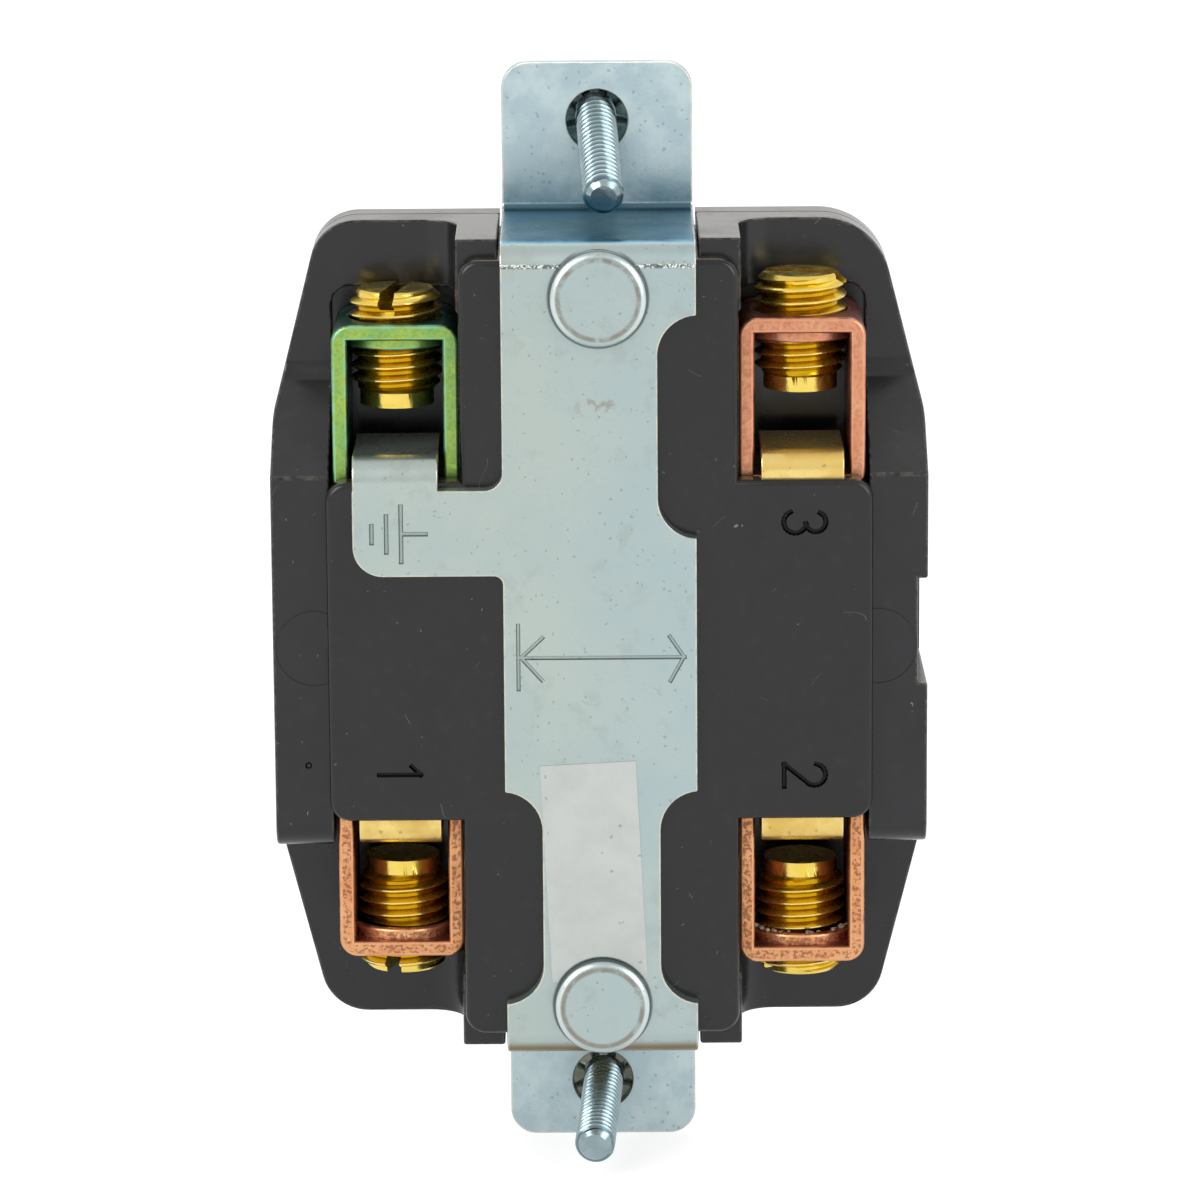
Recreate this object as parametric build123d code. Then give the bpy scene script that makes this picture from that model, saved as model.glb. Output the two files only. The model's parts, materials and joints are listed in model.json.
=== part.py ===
from build123d import *
import math
import os

# A flush locking power receptacle, seen from its wiring side.
# X is to the right as seen from the wiring side, Z is up along the mounting strap, and -Y points
# out of the wiring side. The origin is midway between the two mounting holes, on the side of the
# ears that lies against the wall box. Millimetres.

# Strap: one pressing of plated steel.
STRAP_T = 1.5
STRAP_WIDTH = 15.9
STRAP_BACK = -18.0
STRAP_BEND_IN = 0.6
EAR_END = 46.5
EAR_CORNER = 2.2
HOLE_PITCH = 83.34
EAR_HOLE_R = 2.55
RISER_OUT = 34.2
SIDE_NOTCH_X = 4.8
SIDE_NOTCH_LOW = 9.8
SIDE_NOTCH_HIGH = 28.2
NECK_X = 4.9
NECK_LOW = -29.6
NECK_HIGH = -11.5
NOTCH_R = 3.3
ARM_LEFT = -20.2
ARM_LOW = 6.7
ARM_CORNER = 2.5
ARM_TUCK = 0.7
ARM_TOP = 13.9
STRAP_TONGUE_W = 7.0

# Levels of the mouldings, along Y.
FLANGE_FRONT = 1.5
FLANGE_REAR = -1.3
WING_BACK = -4.3
POCKET_FLOOR = -3.4
DECK = -14.7
COVER_BACK = STRAP_BACK + STRAP_T

# Body outline, seen along Y.
BODY_END = 34.1
BODY_END_HALF = 23.05
BODY_HALF = 27.0
SHOULDER = 18.5
CORNER_R = 4.0
CORNER_R_WIDE = 6.0
SHOULDER_R = 6.0
RAMP_FOOT = 14.4
RAMP_HEAD = 21.3
RAMP_FILLET = 2.0
SIDE_STEP = -17.1
SIDE_STEP_ROUND = 2.2
COLUMN_HALF = 11.65
COLUMN_FILLET = 3.0
RISER_GAP = 0.2
TUNNEL_REACH = 0.1
SIDE_RECESS = 0.8
SIDE_RECESS_LOW = -3.2
SIDE_RECESS_HIGH = 5.6

# Cross-shaped rear insulator.
COVER_STEM_HALF = 11.4
COVER_STEM_END = 32.6
COVER_BAR_HALF = 22.4
COVER_BAR_END = 14.3
COVER_CORNER = 1.7
COVER_EDGE = 0.5

# Clamps: folded cages with a threaded outer wall.
CLAMP_X = 16.65
CLAMP_W = 10.4
CLAMP_T = 1.3
CLAMP_H = 14.3
CLAMP_BACK = -14.2
CLAMP_FRONT = -3.7
CLAMP_CORNER = 1.5
COLLAR_H = 0.9
COLLAR_WALL = 0.8
CLAMP_TRAVEL = 0.9
CLAMP_GAP = 0.3

# Clamp screws, 5/16-24, slotted, with a dog point.
SCREW_R = 3.8
SCREW_RUN = 0.05
SCREW_L = 9.6
DOG_R = 3.05
DOG_L = 1.2
SCREW_CHAMFER = 0.45
SLOT_W = 1.25
SLOT_DEEP = 1.4

# Side, level, gap between the clamp's inner wall and the tongue, gap between tongue and screw tip,
# and turn of the screw's slot, for each clamp as it stands in the photo.
STATIONS = {
    "upper_left": (-1, 1, 1.2, 3.0, -12),
    "upper_right": (1, 1, 1.2, 4.15, 75),
    "lower_left": (-1, -1, 2.0, 2.3, 15),
    "lower_right": (1, -1, 1.3, 2.7, 60),
}

# Contacts: brass strip under the insulator, with a pair of leaves behind each slot.
STRIP_T = 1.1
STRIP_LAP = 1.0
STRIP_BEND_IN = 0.6
TONGUE_W = 6.8
TONGUE_FACE = 16.6
TONGUE_TIP = -6.9
LEAF_T = 0.8
LEAF_GAP = 1.9
LEAF_SPAN = 34.0
LEAF_TIP = 3.0
STRIP_GAP = 0.1
LINK_GAP = 1.2
PAD_RIM = 0.3
SPRING_T = 0.45
SPRING_FIT = 0.05
SPRING_LOW = -7.0
SPRING_HIGH = -1.5
CAVITY_GAP = 0.3
CAVITY_SLACK = 9.0

# Round face with its four slots.
FACE_R = 20.1
FACE_FRONT = 8.5
FACE_EDGE = 1.0
SLOT_CIRCLE_R = 12.5
SLOT_THICK = 2.4
SLOT_SPAN = 42.0
HOOK_DEEP = 1.7
HOOK_W = 2.3
HOOK_LAP = 0.5
FACE_SKIN = 4.0

# Rivets.
RIVET_Z = 29.7
RIVET_HEAD_R = 4.05
RIVET_HEAD_H = 1.0
RIVET_RIM = 0.75
RIVET_R = 2.3
RIVET_FIT = 0.05
RIVET_FOOT_R = 2.75
RIVET_FOOT_H = 1.2
PLATE_SCREW_R = 1.45
PLATE_SCREW_DEEP = 8.0

# Mounting screws, 6-32, loose in the ears, with the thin washers that keep them there.
MOUNT_SCREW_R = 1.7
MOUNT_SCREW_OUT = 13.6
MOUNT_HEAD_R = 3.45
MOUNT_HEAD_H = 2.1
MOUNT_HEAD_ROUND = 1.26
MOUNT_TIP = 0.77
MOUNT_SLOT_W = 1.0
MOUNT_SLOT_DEEP = 1.0
WASHER_R = 4.4
WASHER_T = 0.7
WASHER_FIT = 0.05
WASHER_CLEAR = 0.1
LEANS = {
    "top": (1, 17.0, 2.1, 0.0, -0.6),
    "bottom": (-1, 6.0, -3.2, 0.0, -0.35),
}

# Label.
LABEL_W = 7.9
LABEL_H = 18.5
LABEL_T = 0.12
LABEL_X = -0.65
LABEL_Z = -18.3
LABEL_TURN = 2.8
LABEL_GAP = 0.15

# Values that follow.
BEND_OUT = STRAP_BEND_IN + STRAP_T
TUNNEL_HALF = STRAP_WIDTH / 2 + RISER_GAP
STRAP_INNER = RISER_OUT - STRAP_T
TUNNEL_END = STRAP_INNER - TUNNEL_REACH
CLAMP_Y = (CLAMP_BACK + CLAMP_FRONT) / 2
STRIP_BACK = DECK - STRIP_T
LEAF_IN_R = SLOT_CIRCLE_R - LEAF_GAP / 2 - LEAF_T
LEAF_OUT_R = SLOT_CIRCLE_R + LEAF_GAP / 2 + LEAF_T
SPRING_IN_R = LEAF_IN_R - SPRING_FIT - SPRING_T
SPRING_OUT_R = LEAF_OUT_R + SPRING_FIT + SPRING_T
CAVITY_IN_R = SPRING_IN_R - CAVITY_GAP
CAVITY_OUT_R = SPRING_OUT_R + CAVITY_GAP
CAVITY_SPAN = LEAF_SPAN + CAVITY_SLACK
CAVITY_FRONT = FACE_FRONT - FACE_SKIN
TONGUE_THICK = {name: STRIP_T for name in STATIONS} | {"upper_left": STRAP_T}
TURNS = {"upper_right": 270, "lower_left": 180, "lower_right": 0, "ground": 90}

# How far a cutting shape runs past what it cuts, and a length longer than the whole part.
PAST = 1.0
TALL = 3 * EAR_END


def block(x0, x1, y0, y1, z0, z1):
    """A box between two corners."""
    low = (min(x0, x1), min(y0, y1), min(z0, z1))
    size = (abs(x1 - x0), abs(y1 - y0), abs(z1 - z0))
    return Pos(*low) * Box(*size, align=(Align.MIN, Align.MIN, Align.MIN))


def slab(sketch, back, front):
    """A sketch drawn in X and Z, given its thickness from back to front along Y."""
    return extrude(Plane.XZ.offset(-front) * sketch, amount=front - back, dir=(0, -1, 0))


def section(sketch, x0, x1):
    """A sketch drawn in Y and Z, given its width along X."""
    return extrude(Plane.YZ.offset(x0) * sketch, amount=x1 - x0, dir=(1, 0, 0))


def rod(radius, z0, z1):
    """An upright cylinder."""
    return Pos(0, 0, z0) * Cylinder(radius, z1 - z0, align=(Align.CENTER, Align.CENTER, Align.MIN))


def pin(radius, y0, y1, x=0.0, z=0.0):
    """A cylinder along Y."""
    return Pos(x, 0, z) * slab(Circle(radius), y0, y1)


def sector(inner, outer, span, middle):
    """A piece of a ring, seen along Y, about the angle in its middle."""
    half = span / 2
    far = 2 * outer
    wedge = Polygon(
        (0, 0),
        (far * math.cos(math.radians(middle - half)), far * math.sin(math.radians(middle - half))),
        (far * math.cos(math.radians(middle)), far * math.sin(math.radians(middle))),
        (far * math.cos(math.radians(middle + half)), far * math.sin(math.radians(middle + half))),
        align=None,
    )
    return (Circle(outer) - Circle(inner)) & wedge


def corners_near(sketch, points, reach=0.2):
    """The sketch's corners that lie at the given points."""
    return [
        v for v in sketch.vertices()
        if any(math.dist((v.X, v.Y), p) < reach for p in points)
    ]


def mirrored(points):
    """The points, and their images left to right."""
    return points + [(-x, z) for x, z in points]


def body_outline():
    """The body's outline: flat ends, slanted shoulders and upright sides."""
    half = [
        (BODY_END_HALF, BODY_END),
        (BODY_HALF, SHOULDER),
        (BODY_HALF, -SHOULDER),
        (BODY_END_HALF, -BODY_END),
    ]
    outline = Polygon(*half, *[(-x, z) for x, z in reversed(half)], align=None)
    wide = corners_near(outline, [(BODY_END_HALF, BODY_END)])
    outline = fillet(wide, CORNER_R_WIDE)
    ends = corners_near(
        outline,
        [(-BODY_END_HALF, BODY_END), (-BODY_END_HALF, -BODY_END), (BODY_END_HALF, -BODY_END)],
    )
    outline = fillet(ends, CORNER_R)
    sides = corners_near(outline, mirrored([(BODY_HALF, SHOULDER), (BODY_HALF, -SHOULDER)]))
    return fillet(sides, SHOULDER_R)


def riser_tunnels(back, front):
    """The two gaps at the body's ends that the strap passes through."""
    gap = block(-TUNNEL_HALF, TUNNEL_HALF, back, front, TUNNEL_END, TALL)
    return gap + mirror(gap, Plane.XY)


def rivet_holes(back, front):
    hole = pin(RIVET_R + RIVET_FIT, back, front, z=RIVET_Z)
    return hole + mirror(hole, Plane.XY)


def contact_cavities(back, front):
    """The spaces round the contact leaves."""
    shape = sector(CAVITY_IN_R, CAVITY_OUT_R, CAVITY_SPAN, 0)
    return [slab(Rot(0, 0, turn) * shape, back, front) for turn in TURNS.values()]


def mounting_strap():
    """The strap's side view is a bent strip. Its necks, arm, tongue and holes follow."""
    inner_end = STRAP_INNER
    side = Polygon(
        (0, EAR_END), (0, RISER_OUT), (STRAP_BACK, RISER_OUT),
        (STRAP_BACK, -RISER_OUT), (0, -RISER_OUT), (0, -EAR_END),
        (STRAP_T, -EAR_END), (STRAP_T, -inner_end), (COVER_BACK, -inner_end),
        (COVER_BACK, inner_end), (STRAP_T, inner_end), (STRAP_T, EAR_END),
        align=None,
    )
    tight = [(0, RISER_OUT), (0, -RISER_OUT), (COVER_BACK, inner_end), (COVER_BACK, -inner_end)]
    side = fillet(corners_near(side, tight), STRAP_BEND_IN)
    round_ones = [
        (STRAP_T, inner_end), (STRAP_T, -inner_end),
        (STRAP_BACK, RISER_OUT), (STRAP_BACK, -RISER_OUT),
    ]
    side = fillet(corners_near(side, round_ones), BEND_OUT)
    half = STRAP_WIDTH / 2
    strap = section(side, -half, half)
    strap &= slab(RectangleRounded(STRAP_WIDTH, 2 * EAR_END, EAR_CORNER), -TALL, TALL)

    wide = 2 * half
    cuts = [(1, SIDE_NOTCH_X, SIDE_NOTCH_LOW, SIDE_NOTCH_HIGH)]
    cuts += [(sign, NECK_X, NECK_LOW, NECK_HIGH) for sign in (-1, 1)]
    for sign, near, low, high in cuts:
        notch = Pos((near + wide / 2) * sign, (low + high) / 2) * RectangleRounded(wide, high - low, NOTCH_R)
        strap -= slab(notch, STRAP_BACK - PAST, COVER_BACK + PAST)

    for sign in (-1, 1):
        strap -= pin(EAR_HOLE_R, -PAST, STRAP_T + PAST, z=sign * HOLE_PITCH / 2)
        strap -= pin(RIVET_R + RIVET_FIT, STRAP_BACK - PAST, COVER_BACK + PAST, z=sign * RIVET_Z)
    return strap + ground_arm() + ground_tongue()


def ground_arm():
    """The flat arm that carries the ground tongue, with its rounded corner."""
    right = -STRAP_WIDTH / 2
    arm = Polygon(
        (ARM_LEFT, ARM_TOP), (ARM_LEFT, ARM_LOW), (right + PAST, ARM_LOW), (right + PAST, ARM_TOP),
        align=None,
    )
    arm = fillet(corners_near(arm, [(ARM_LEFT, ARM_LOW)]), ARM_CORNER)
    tuck = Pos(right - ARM_TUCK / 2, ARM_LOW - ARM_TUCK / 2) * Rectangle(ARM_TUCK, ARM_TUCK)
    tuck -= Pos(right - ARM_TUCK, ARM_LOW - ARM_TUCK) * Circle(ARM_TUCK)
    top_tuck = Pos(right - ARM_TUCK, ARM_TOP + ARM_TUCK) * Rectangle(2 * ARM_TUCK, 2 * ARM_TUCK)
    top_tuck -= Pos(right - 2 * ARM_TUCK, ARM_TOP + 2 * ARM_TUCK) * Circle(2 * ARM_TUCK)
    return slab(arm + tuck + top_tuck, STRAP_BACK, COVER_BACK)


def bent_tongue(back, thick, bend_in, foot, tip, face):
    """Side view of a tongue: up from its foot, and bent forwards with its flat face outwards."""
    side = Polygon(
        (back, foot), (back + thick, foot), (back + thick, face - thick),
        (tip, face - thick), (tip, face), (back, face),
        align=None,
    )
    side = fillet(corners_near(side, [(back + thick, face - thick)]), bend_in)
    return fillet(corners_near(side, [(back, face)]), bend_in + thick)


def ground_tongue():
    side = bent_tongue(STRAP_BACK, STRAP_T, STRAP_BEND_IN, ARM_TOP - PAST, TONGUE_TIP, TONGUE_FACE)
    half = STRAP_TONGUE_W / 2
    return section(side, -CLAMP_X - half, -CLAMP_X + half)


def rivet(sign):
    """A round headed rivet whose front end is tapped for the wall plate's screw."""
    head = Pos(0, sign * RIVET_Z) * Circle(RIVET_HEAD_R)
    body = slab(head, STRAP_BACK - RIVET_HEAD_H, STRAP_BACK)
    rim = [e for e in body.edges().filter_by(GeomType.CIRCLE) if e.center().Y < STRAP_BACK - RIVET_HEAD_H / 2]
    body = fillet(rim, RIVET_RIM)
    body += pin(RIVET_R, STRAP_BACK, FLANGE_FRONT, z=sign * RIVET_Z)
    body += pin(RIVET_FOOT_R, FLANGE_FRONT - RIVET_FOOT_H, FLANGE_FRONT, z=sign * RIVET_Z)
    return body - pin(PLATE_SCREW_R, FLANGE_FRONT - PLATE_SCREW_DEEP, FLANGE_FRONT + PAST, z=sign * RIVET_Z)


def cover_outline():
    stem = Rectangle(2 * COVER_STEM_HALF, 2 * COVER_STEM_END)
    bar = Rectangle(2 * COVER_BAR_HALF, 2 * COVER_BAR_END)
    outline = stem + bar
    outer = mirrored([
        (COVER_STEM_HALF, COVER_STEM_END), (COVER_STEM_HALF, -COVER_STEM_END),
        (COVER_BAR_HALF, COVER_BAR_END), (COVER_BAR_HALF, -COVER_BAR_END),
    ])
    return fillet(corners_near(outline, outer), COVER_CORNER)


def rear_insulator():
    """The cross under the strap. The brass strips lie in grooves in its hidden side."""
    cover = slab(cover_outline(), COVER_BACK, DECK)
    cover = fillet(cover.faces().sort_by(Axis.Y)[0].edges(), COVER_EDGE)
    cover -= rivet_holes(COVER_BACK - PAST, DECK + PAST)
    for outline in strip_outlines().values():
        groove = offset(outline, STRIP_GAP)
        cover -= slab(groove, STRIP_BACK, DECK)
    return cover


def clamp_outer_end(name):
    """How far a clamp's outer end lies from the middle: its inner wall hangs below the tongue."""
    gap = STATIONS[name][2]
    return TONGUE_FACE - TONGUE_THICK[name] - gap - CLAMP_T + CLAMP_H


def clamp_pocket(side, level):
    """The room that a clamp slides in."""
    half = CLAMP_W / 2 + CLAMP_GAP
    ends = [clamp_outer_end(name) for name in STATIONS]
    outer = max(ends) + CLAMP_TRAVEL + CLAMP_GAP
    inner = min(ends) - CLAMP_H - CLAMP_TRAVEL - CLAMP_GAP
    outline = RectangleRounded(2 * half, outer - inner, CLAMP_CORNER)
    middle = (outer + inner) / 2 * level
    return slab(Pos(side * CLAMP_X, middle) * outline, DECK - PAST, POCKET_FLOOR)


def column_fillet(side, low, high):
    """The hollow curve between a column's side and the wing's floor."""
    corner = Pos(COLUMN_HALF + COLUMN_FILLET / 2, WING_BACK - COLUMN_FILLET / 2)
    profile = corner * Rectangle(COLUMN_FILLET, COLUMN_FILLET)
    profile -= Pos(COLUMN_HALF + COLUMN_FILLET, WING_BACK - COLUMN_FILLET) * Circle(COLUMN_FILLET)
    curve = extrude(Plane.XY.offset(low) * profile, amount=high - low, dir=(0, 0, 1))
    return curve if side > 0 else mirror(curve, Plane.YZ)


def side_step_round():
    """What the rounding of a side wall's lower end takes away, seen along X."""
    size = SIDE_STEP_ROUND + PAST
    middle = SIDE_STEP_ROUND - size / 2
    corner = Pos(DECK + middle, SIDE_STEP + middle) * Rectangle(size, size)
    return corner - Pos(DECK + SIDE_STEP_ROUND, SIDE_STEP + SIDE_STEP_ROUND) * Circle(SIDE_STEP_ROUND)


def main_housing():
    """The wiring side moulding: wings, ramps, side walls, columns and pockets."""
    housing = slab(body_outline(), DECK, FLANGE_REAR)
    above = Polygon(
        (DECK - PAST, RAMP_FOOT), (DECK, RAMP_FOOT), (WING_BACK, RAMP_HEAD),
        (WING_BACK, TALL), (DECK - PAST, TALL),
        align=None,
    )
    above = fillet(corners_near(above, [(WING_BACK, RAMP_HEAD)]), RAMP_FILLET)
    below = Polygon(
        (DECK - PAST, SIDE_STEP), (WING_BACK, SIDE_STEP), (WING_BACK, -TALL), (DECK - PAST, -TALL),
        align=None,
    )
    for side in (-1, 1):
        near, far = sorted((side * COLUMN_HALF, side * 2 * BODY_HALF))
        housing -= section(above, near, far)
        housing -= section(below, near, far)
        housing -= section(side_step_round(), near, far)
        housing += column_fillet(side, RAMP_HEAD - COLUMN_FILLET, BODY_END)
        housing += column_fillet(side, -BODY_END, SIDE_STEP)
    for side in (-1, 1):
        for level in (-1, 1):
            housing -= clamp_pocket(side, level)
    housing -= riser_tunnels(DECK - PAST, FLANGE_REAR + PAST)
    housing -= rivet_holes(DECK - PAST, FLANGE_REAR + PAST)
    housing -= contact_cavities(DECK - PAST, FLANGE_REAR + PAST)
    edge = BODY_HALF - SIDE_RECESS
    housing -= block(edge, BODY_HALF + PAST, DECK - PAST, FLANGE_REAR + PAST, SIDE_RECESS_LOW, SIDE_RECESS_HIGH)
    return housing


def front_face():
    """The plug side: a flange as large as the body, and the round face with its slots."""
    face = slab(body_outline(), FLANGE_REAR, FLANGE_FRONT)
    face += pin(FACE_R, FLANGE_FRONT, FACE_FRONT)
    rim = [e for e in face.edges().filter_by(GeomType.CIRCLE) if e.center().Y > FACE_FRONT - FACE_EDGE]
    face = fillet(rim, FACE_EDGE)
    face -= contact_cavities(FLANGE_REAR - PAST, CAVITY_FRONT)
    slot = sector(SLOT_CIRCLE_R - SLOT_THICK / 2, SLOT_CIRCLE_R + SLOT_THICK / 2, SLOT_SPAN, 0)
    slots = [Rot(0, 0, turn) * slot for name, turn in TURNS.items() if name != "ground"]
    slots.append(Rot(0, 0, TURNS["ground"]) * slot + ground_hook())
    for shape in slots:
        face -= slab(shape, CAVITY_FRONT - PAST, FACE_FRONT + PAST)
    face -= riser_tunnels(FLANGE_REAR - PAST, FLANGE_FRONT + PAST)
    face -= rivet_holes(FLANGE_REAR - PAST, FLANGE_FRONT + PAST)
    for sign in (-1, 1):
        foot = RIVET_FOOT_R + RIVET_FIT
        face -= pin(foot, FLANGE_FRONT - RIVET_FOOT_H, FLANGE_FRONT + PAST, z=sign * RIVET_Z)
    return face


def ground_hook():
    """The inward hook at one end of the ground slot, which is the uppermost."""
    inner = SLOT_CIRCLE_R - SLOT_THICK / 2
    hook_span = math.degrees(HOOK_W / inner)
    middle = TURNS["ground"] + (SLOT_SPAN - hook_span) / 2
    return sector(inner - HOOK_DEEP, inner + HOOK_LAP, hook_span, middle)


def strip_outlines():
    """Flat outlines of the brass strips, seen along Y, up to where each tongue bends."""
    near = CLAMP_X - TONGUE_W / 2
    far = CLAMP_X + TONGUE_W / 2
    root = TONGUE_FACE - STRIP_T - STRIP_BEND_IN
    pad = LEAF_OUT_R * math.sin(math.radians(LEAF_SPAN / 2)) + PAD_RIM
    inner = LEAF_IN_R * math.cos(math.radians(LEAF_SPAN / 2)) - PAD_RIM
    outer = LEAF_OUT_R + PAD_RIM
    link_low = pad + LINK_GAP
    link_high = inner - LINK_GAP
    return {
        "upper_right": Polygon(
            (near, root), (near, link_high), (-pad / 2, link_high), (-pad / 2, -inner),
            (-pad, -inner), (-pad, -outer), (pad, -outer), (pad, -inner),
            (pad / 2, -inner), (pad / 2, link_low), (far, link_low), (far, root),
            align=None,
        ),
        "lower_left": Polygon(
            (-near, -root), (-near, -pad), (-inner, -pad), (-inner, pad), (-far, pad), (-far, -root),
            align=None,
        ),
        "lower_right": Polygon(
            (near, -root), (near, -pad), (inner, -pad), (inner, pad), (far, pad), (far, -root),
            align=None,
        ),
        "ground": Polygon(
            (-pad, inner), (pad, inner), (pad, COVER_STEM_END - STRIP_LAP), (-pad, COVER_STEM_END - STRIP_LAP),
            align=None,
        ),
    }


def leaves(turn):
    """The two curved leaves that hold one blade of the plug."""
    inner = sector(LEAF_IN_R, LEAF_IN_R + LEAF_T, LEAF_SPAN, turn)
    outer = sector(LEAF_OUT_R - LEAF_T, LEAF_OUT_R, LEAF_SPAN, turn)
    root = DECK - STRIP_GAP
    return slab(inner, root, LEAF_TIP) + slab(outer, root, LEAF_TIP)


def contact(name, turn):
    strip = slab(strip_outlines()[name], STRIP_BACK, DECK)
    piece = strip + leaves(turn)
    if name == "ground":
        return piece - pin(RIVET_R + RIVET_FIT, STRIP_BACK - PAST, DECK + PAST, z=RIVET_Z)
    side, level = STATIONS[name][:2]
    root = TONGUE_FACE - STRIP_T - STRIP_BEND_IN
    profile = bent_tongue(STRIP_BACK, STRIP_T, STRIP_BEND_IN, root - STRIP_LAP, TONGUE_TIP, TONGUE_FACE)
    tongue = section(profile, side * CLAMP_X - TONGUE_W / 2, side * CLAMP_X + TONGUE_W / 2)
    if level < 0:
        tongue = mirror(tongue, Plane.XY)
    return piece + tongue


def contact_spring(turn):
    """The steel band round a contact's leaves."""
    slack = math.degrees(SPRING_FIT / LEAF_IN_R) * 2
    wall = math.degrees(SPRING_T / LEAF_IN_R) * 2
    hole = sector(LEAF_IN_R - SPRING_FIT, LEAF_OUT_R + SPRING_FIT, LEAF_SPAN + slack, turn)
    band = sector(SPRING_IN_R, SPRING_OUT_R, LEAF_SPAN + slack + wall, turn) - hole
    return slab(band, SPRING_LOW, SPRING_HIGH)


def clamp(name):
    """A cage folded from thick strip, with a drawn collar round its threaded hole."""
    side, level = STATIONS[name][:2]
    outer = clamp_outer_end(name)
    frame = RectangleRounded(CLAMP_W, CLAMP_H, CLAMP_CORNER)
    frame -= Rectangle(CLAMP_W - 2 * CLAMP_T, CLAMP_H - 2 * CLAMP_T)
    cage = slab(Pos(0, CLAMP_H / 2) * frame, CLAMP_BACK, CLAMP_FRONT)
    collar_r = SCREW_R + SCREW_RUN + COLLAR_WALL
    wall = CLAMP_H - CLAMP_T
    half = CLAMP_W / 2 - CLAMP_T / 2
    drawn = Pos(0, CLAMP_Y, 0) * rod(collar_r, wall - COLLAR_H, wall + CLAMP_T / 2)
    cage += drawn & block(-half, half, CLAMP_BACK, CLAMP_FRONT, 0, CLAMP_H)
    cage -= Pos(0, CLAMP_Y, 0) * rod(SCREW_R + SCREW_RUN, wall - COLLAR_H - PAST, CLAMP_H + PAST)
    cage = Pos(side * CLAMP_X, 0, outer - CLAMP_H) * cage
    return cage if level > 0 else mirror(cage, Plane.XY)


def clamp_screw(name):
    """A headless slotted screw. Its thread is left to the finished model."""
    side, level, _, gap, turn = STATIONS[name]
    tip = TONGUE_FACE + gap
    thread = rod(SCREW_R, DOG_L, SCREW_L)
    ends = thread.edges().filter_by(GeomType.CIRCLE)
    screw = chamfer(ends, SCREW_CHAMFER) + rod(DOG_R, 0, DOG_L + SCREW_CHAMFER)
    slot = block(-SLOT_W / 2, SLOT_W / 2, -SCREW_R - PAST, SCREW_R + PAST, SCREW_L - SLOT_DEEP, SCREW_L + PAST)
    screw -= Rot(0, 0, turn) * slot
    screw = Pos(side * CLAMP_X, CLAMP_Y, tip) * screw
    return screw if level > 0 else mirror(screw, Plane.XY)


def on_lean(name, shape):
    """Puts a piece made along Z, with its tip down, on the leaning axis of a mounting screw."""
    sign, down, across, x, z = LEANS[name]
    place = Pos(x, 0, sign * HOLE_PITCH / 2 + z)
    return place * Rot(down, 0, across) * Rot(-90, 0, 0) * shape


def head_seat(name):
    """How far the washer stands off the axis's start, so that its rim clears the ear."""
    _, down, across, _, _ = LEANS[name]
    lean = math.radians(math.hypot(down, across))
    return (STRAP_T + WASHER_CLEAR) / math.cos(lean) + WASHER_R * math.tan(lean)


def mounting_screw(name):
    seat = head_seat(name) + WASHER_T
    shank = rod(MOUNT_SCREW_R, -MOUNT_SCREW_OUT, seat + MOUNT_HEAD_H / 2)
    tip = shank.edges().filter_by(GeomType.CIRCLE).sort_by(Axis.Z)[0]
    screw = chamfer(tip, MOUNT_TIP)
    head = rod(MOUNT_HEAD_R, seat, seat + MOUNT_HEAD_H)
    top = head.edges().filter_by(GeomType.CIRCLE).sort_by(Axis.Z)[-1]
    screw += fillet(top, MOUNT_HEAD_ROUND)
    top_level = seat + MOUNT_HEAD_H
    half = MOUNT_SLOT_W / 2
    screw -= block(-MOUNT_HEAD_R, MOUNT_HEAD_R, -half, half, top_level - MOUNT_SLOT_DEEP, top_level + PAST)
    return on_lean(name, screw)


def retaining_washer(name):
    seat = head_seat(name)
    washer = rod(WASHER_R, seat, seat + WASHER_T)
    washer -= rod(MOUNT_SCREW_R + WASHER_FIT, seat - PAST, seat + WASHER_T + PAST)
    return on_lean(name, washer)


def rating_label():
    """A thin sticker, cut round the lower rivet's head."""
    label = Pos(LABEL_X, LABEL_Z) * Rot(0, 0, LABEL_TURN) * Rectangle(LABEL_W, LABEL_H)
    label -= Pos(0, -RIVET_Z) * Circle(RIVET_HEAD_R + LABEL_GAP)
    return slab(label, STRAP_BACK - LABEL_T, STRAP_BACK)


def pieces():
    """Every piece by name."""
    made = {
        "mounting_strap": mounting_strap(),
        "top_rivet": rivet(1),
        "bottom_rivet": rivet(-1),
        "rear_insulator": rear_insulator(),
        "main_housing": main_housing(),
        "front_face": front_face(),
        "rating_label": rating_label(),
    }
    for name, turn in TURNS.items():
        made[f"{name}_contact"] = contact(name, turn)
        made[f"{name}_contact_spring"] = contact_spring(turn)
    for name in STATIONS:
        made[f"{name}_clamp"] = clamp(name)
        made[f"{name}_clamp_screw"] = clamp_screw(name)
    for name in LEANS:
        made[f"{name}_mounting_screw"] = mounting_screw(name)
        made[f"{name}_retaining_washer"] = retaining_washer(name)
    return made


os.makedirs("parts", exist_ok=True)
for node, shape in pieces().items():
    export_step(shape, f"parts/{node}.step")
    print(node, len(shape.solids()), "solid", round(shape.volume, 1), "mm3")
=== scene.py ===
# %% [markdown]
# # A locking power receptacle, seen from its wiring side
#
# The part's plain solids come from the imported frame, in metres: X is to the right, Z is up along
# the mounting strap, and -Y points out of the wiring side. This lesson dresses them. Sheet metal
# and mouldings get the small rounded edges that catch the light, screws get real threads, and
# every surface gets a finish made of nodes.

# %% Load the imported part
import json
import math
import random

import bmesh
import bpy
from mathutils import Matrix, Vector


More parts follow.
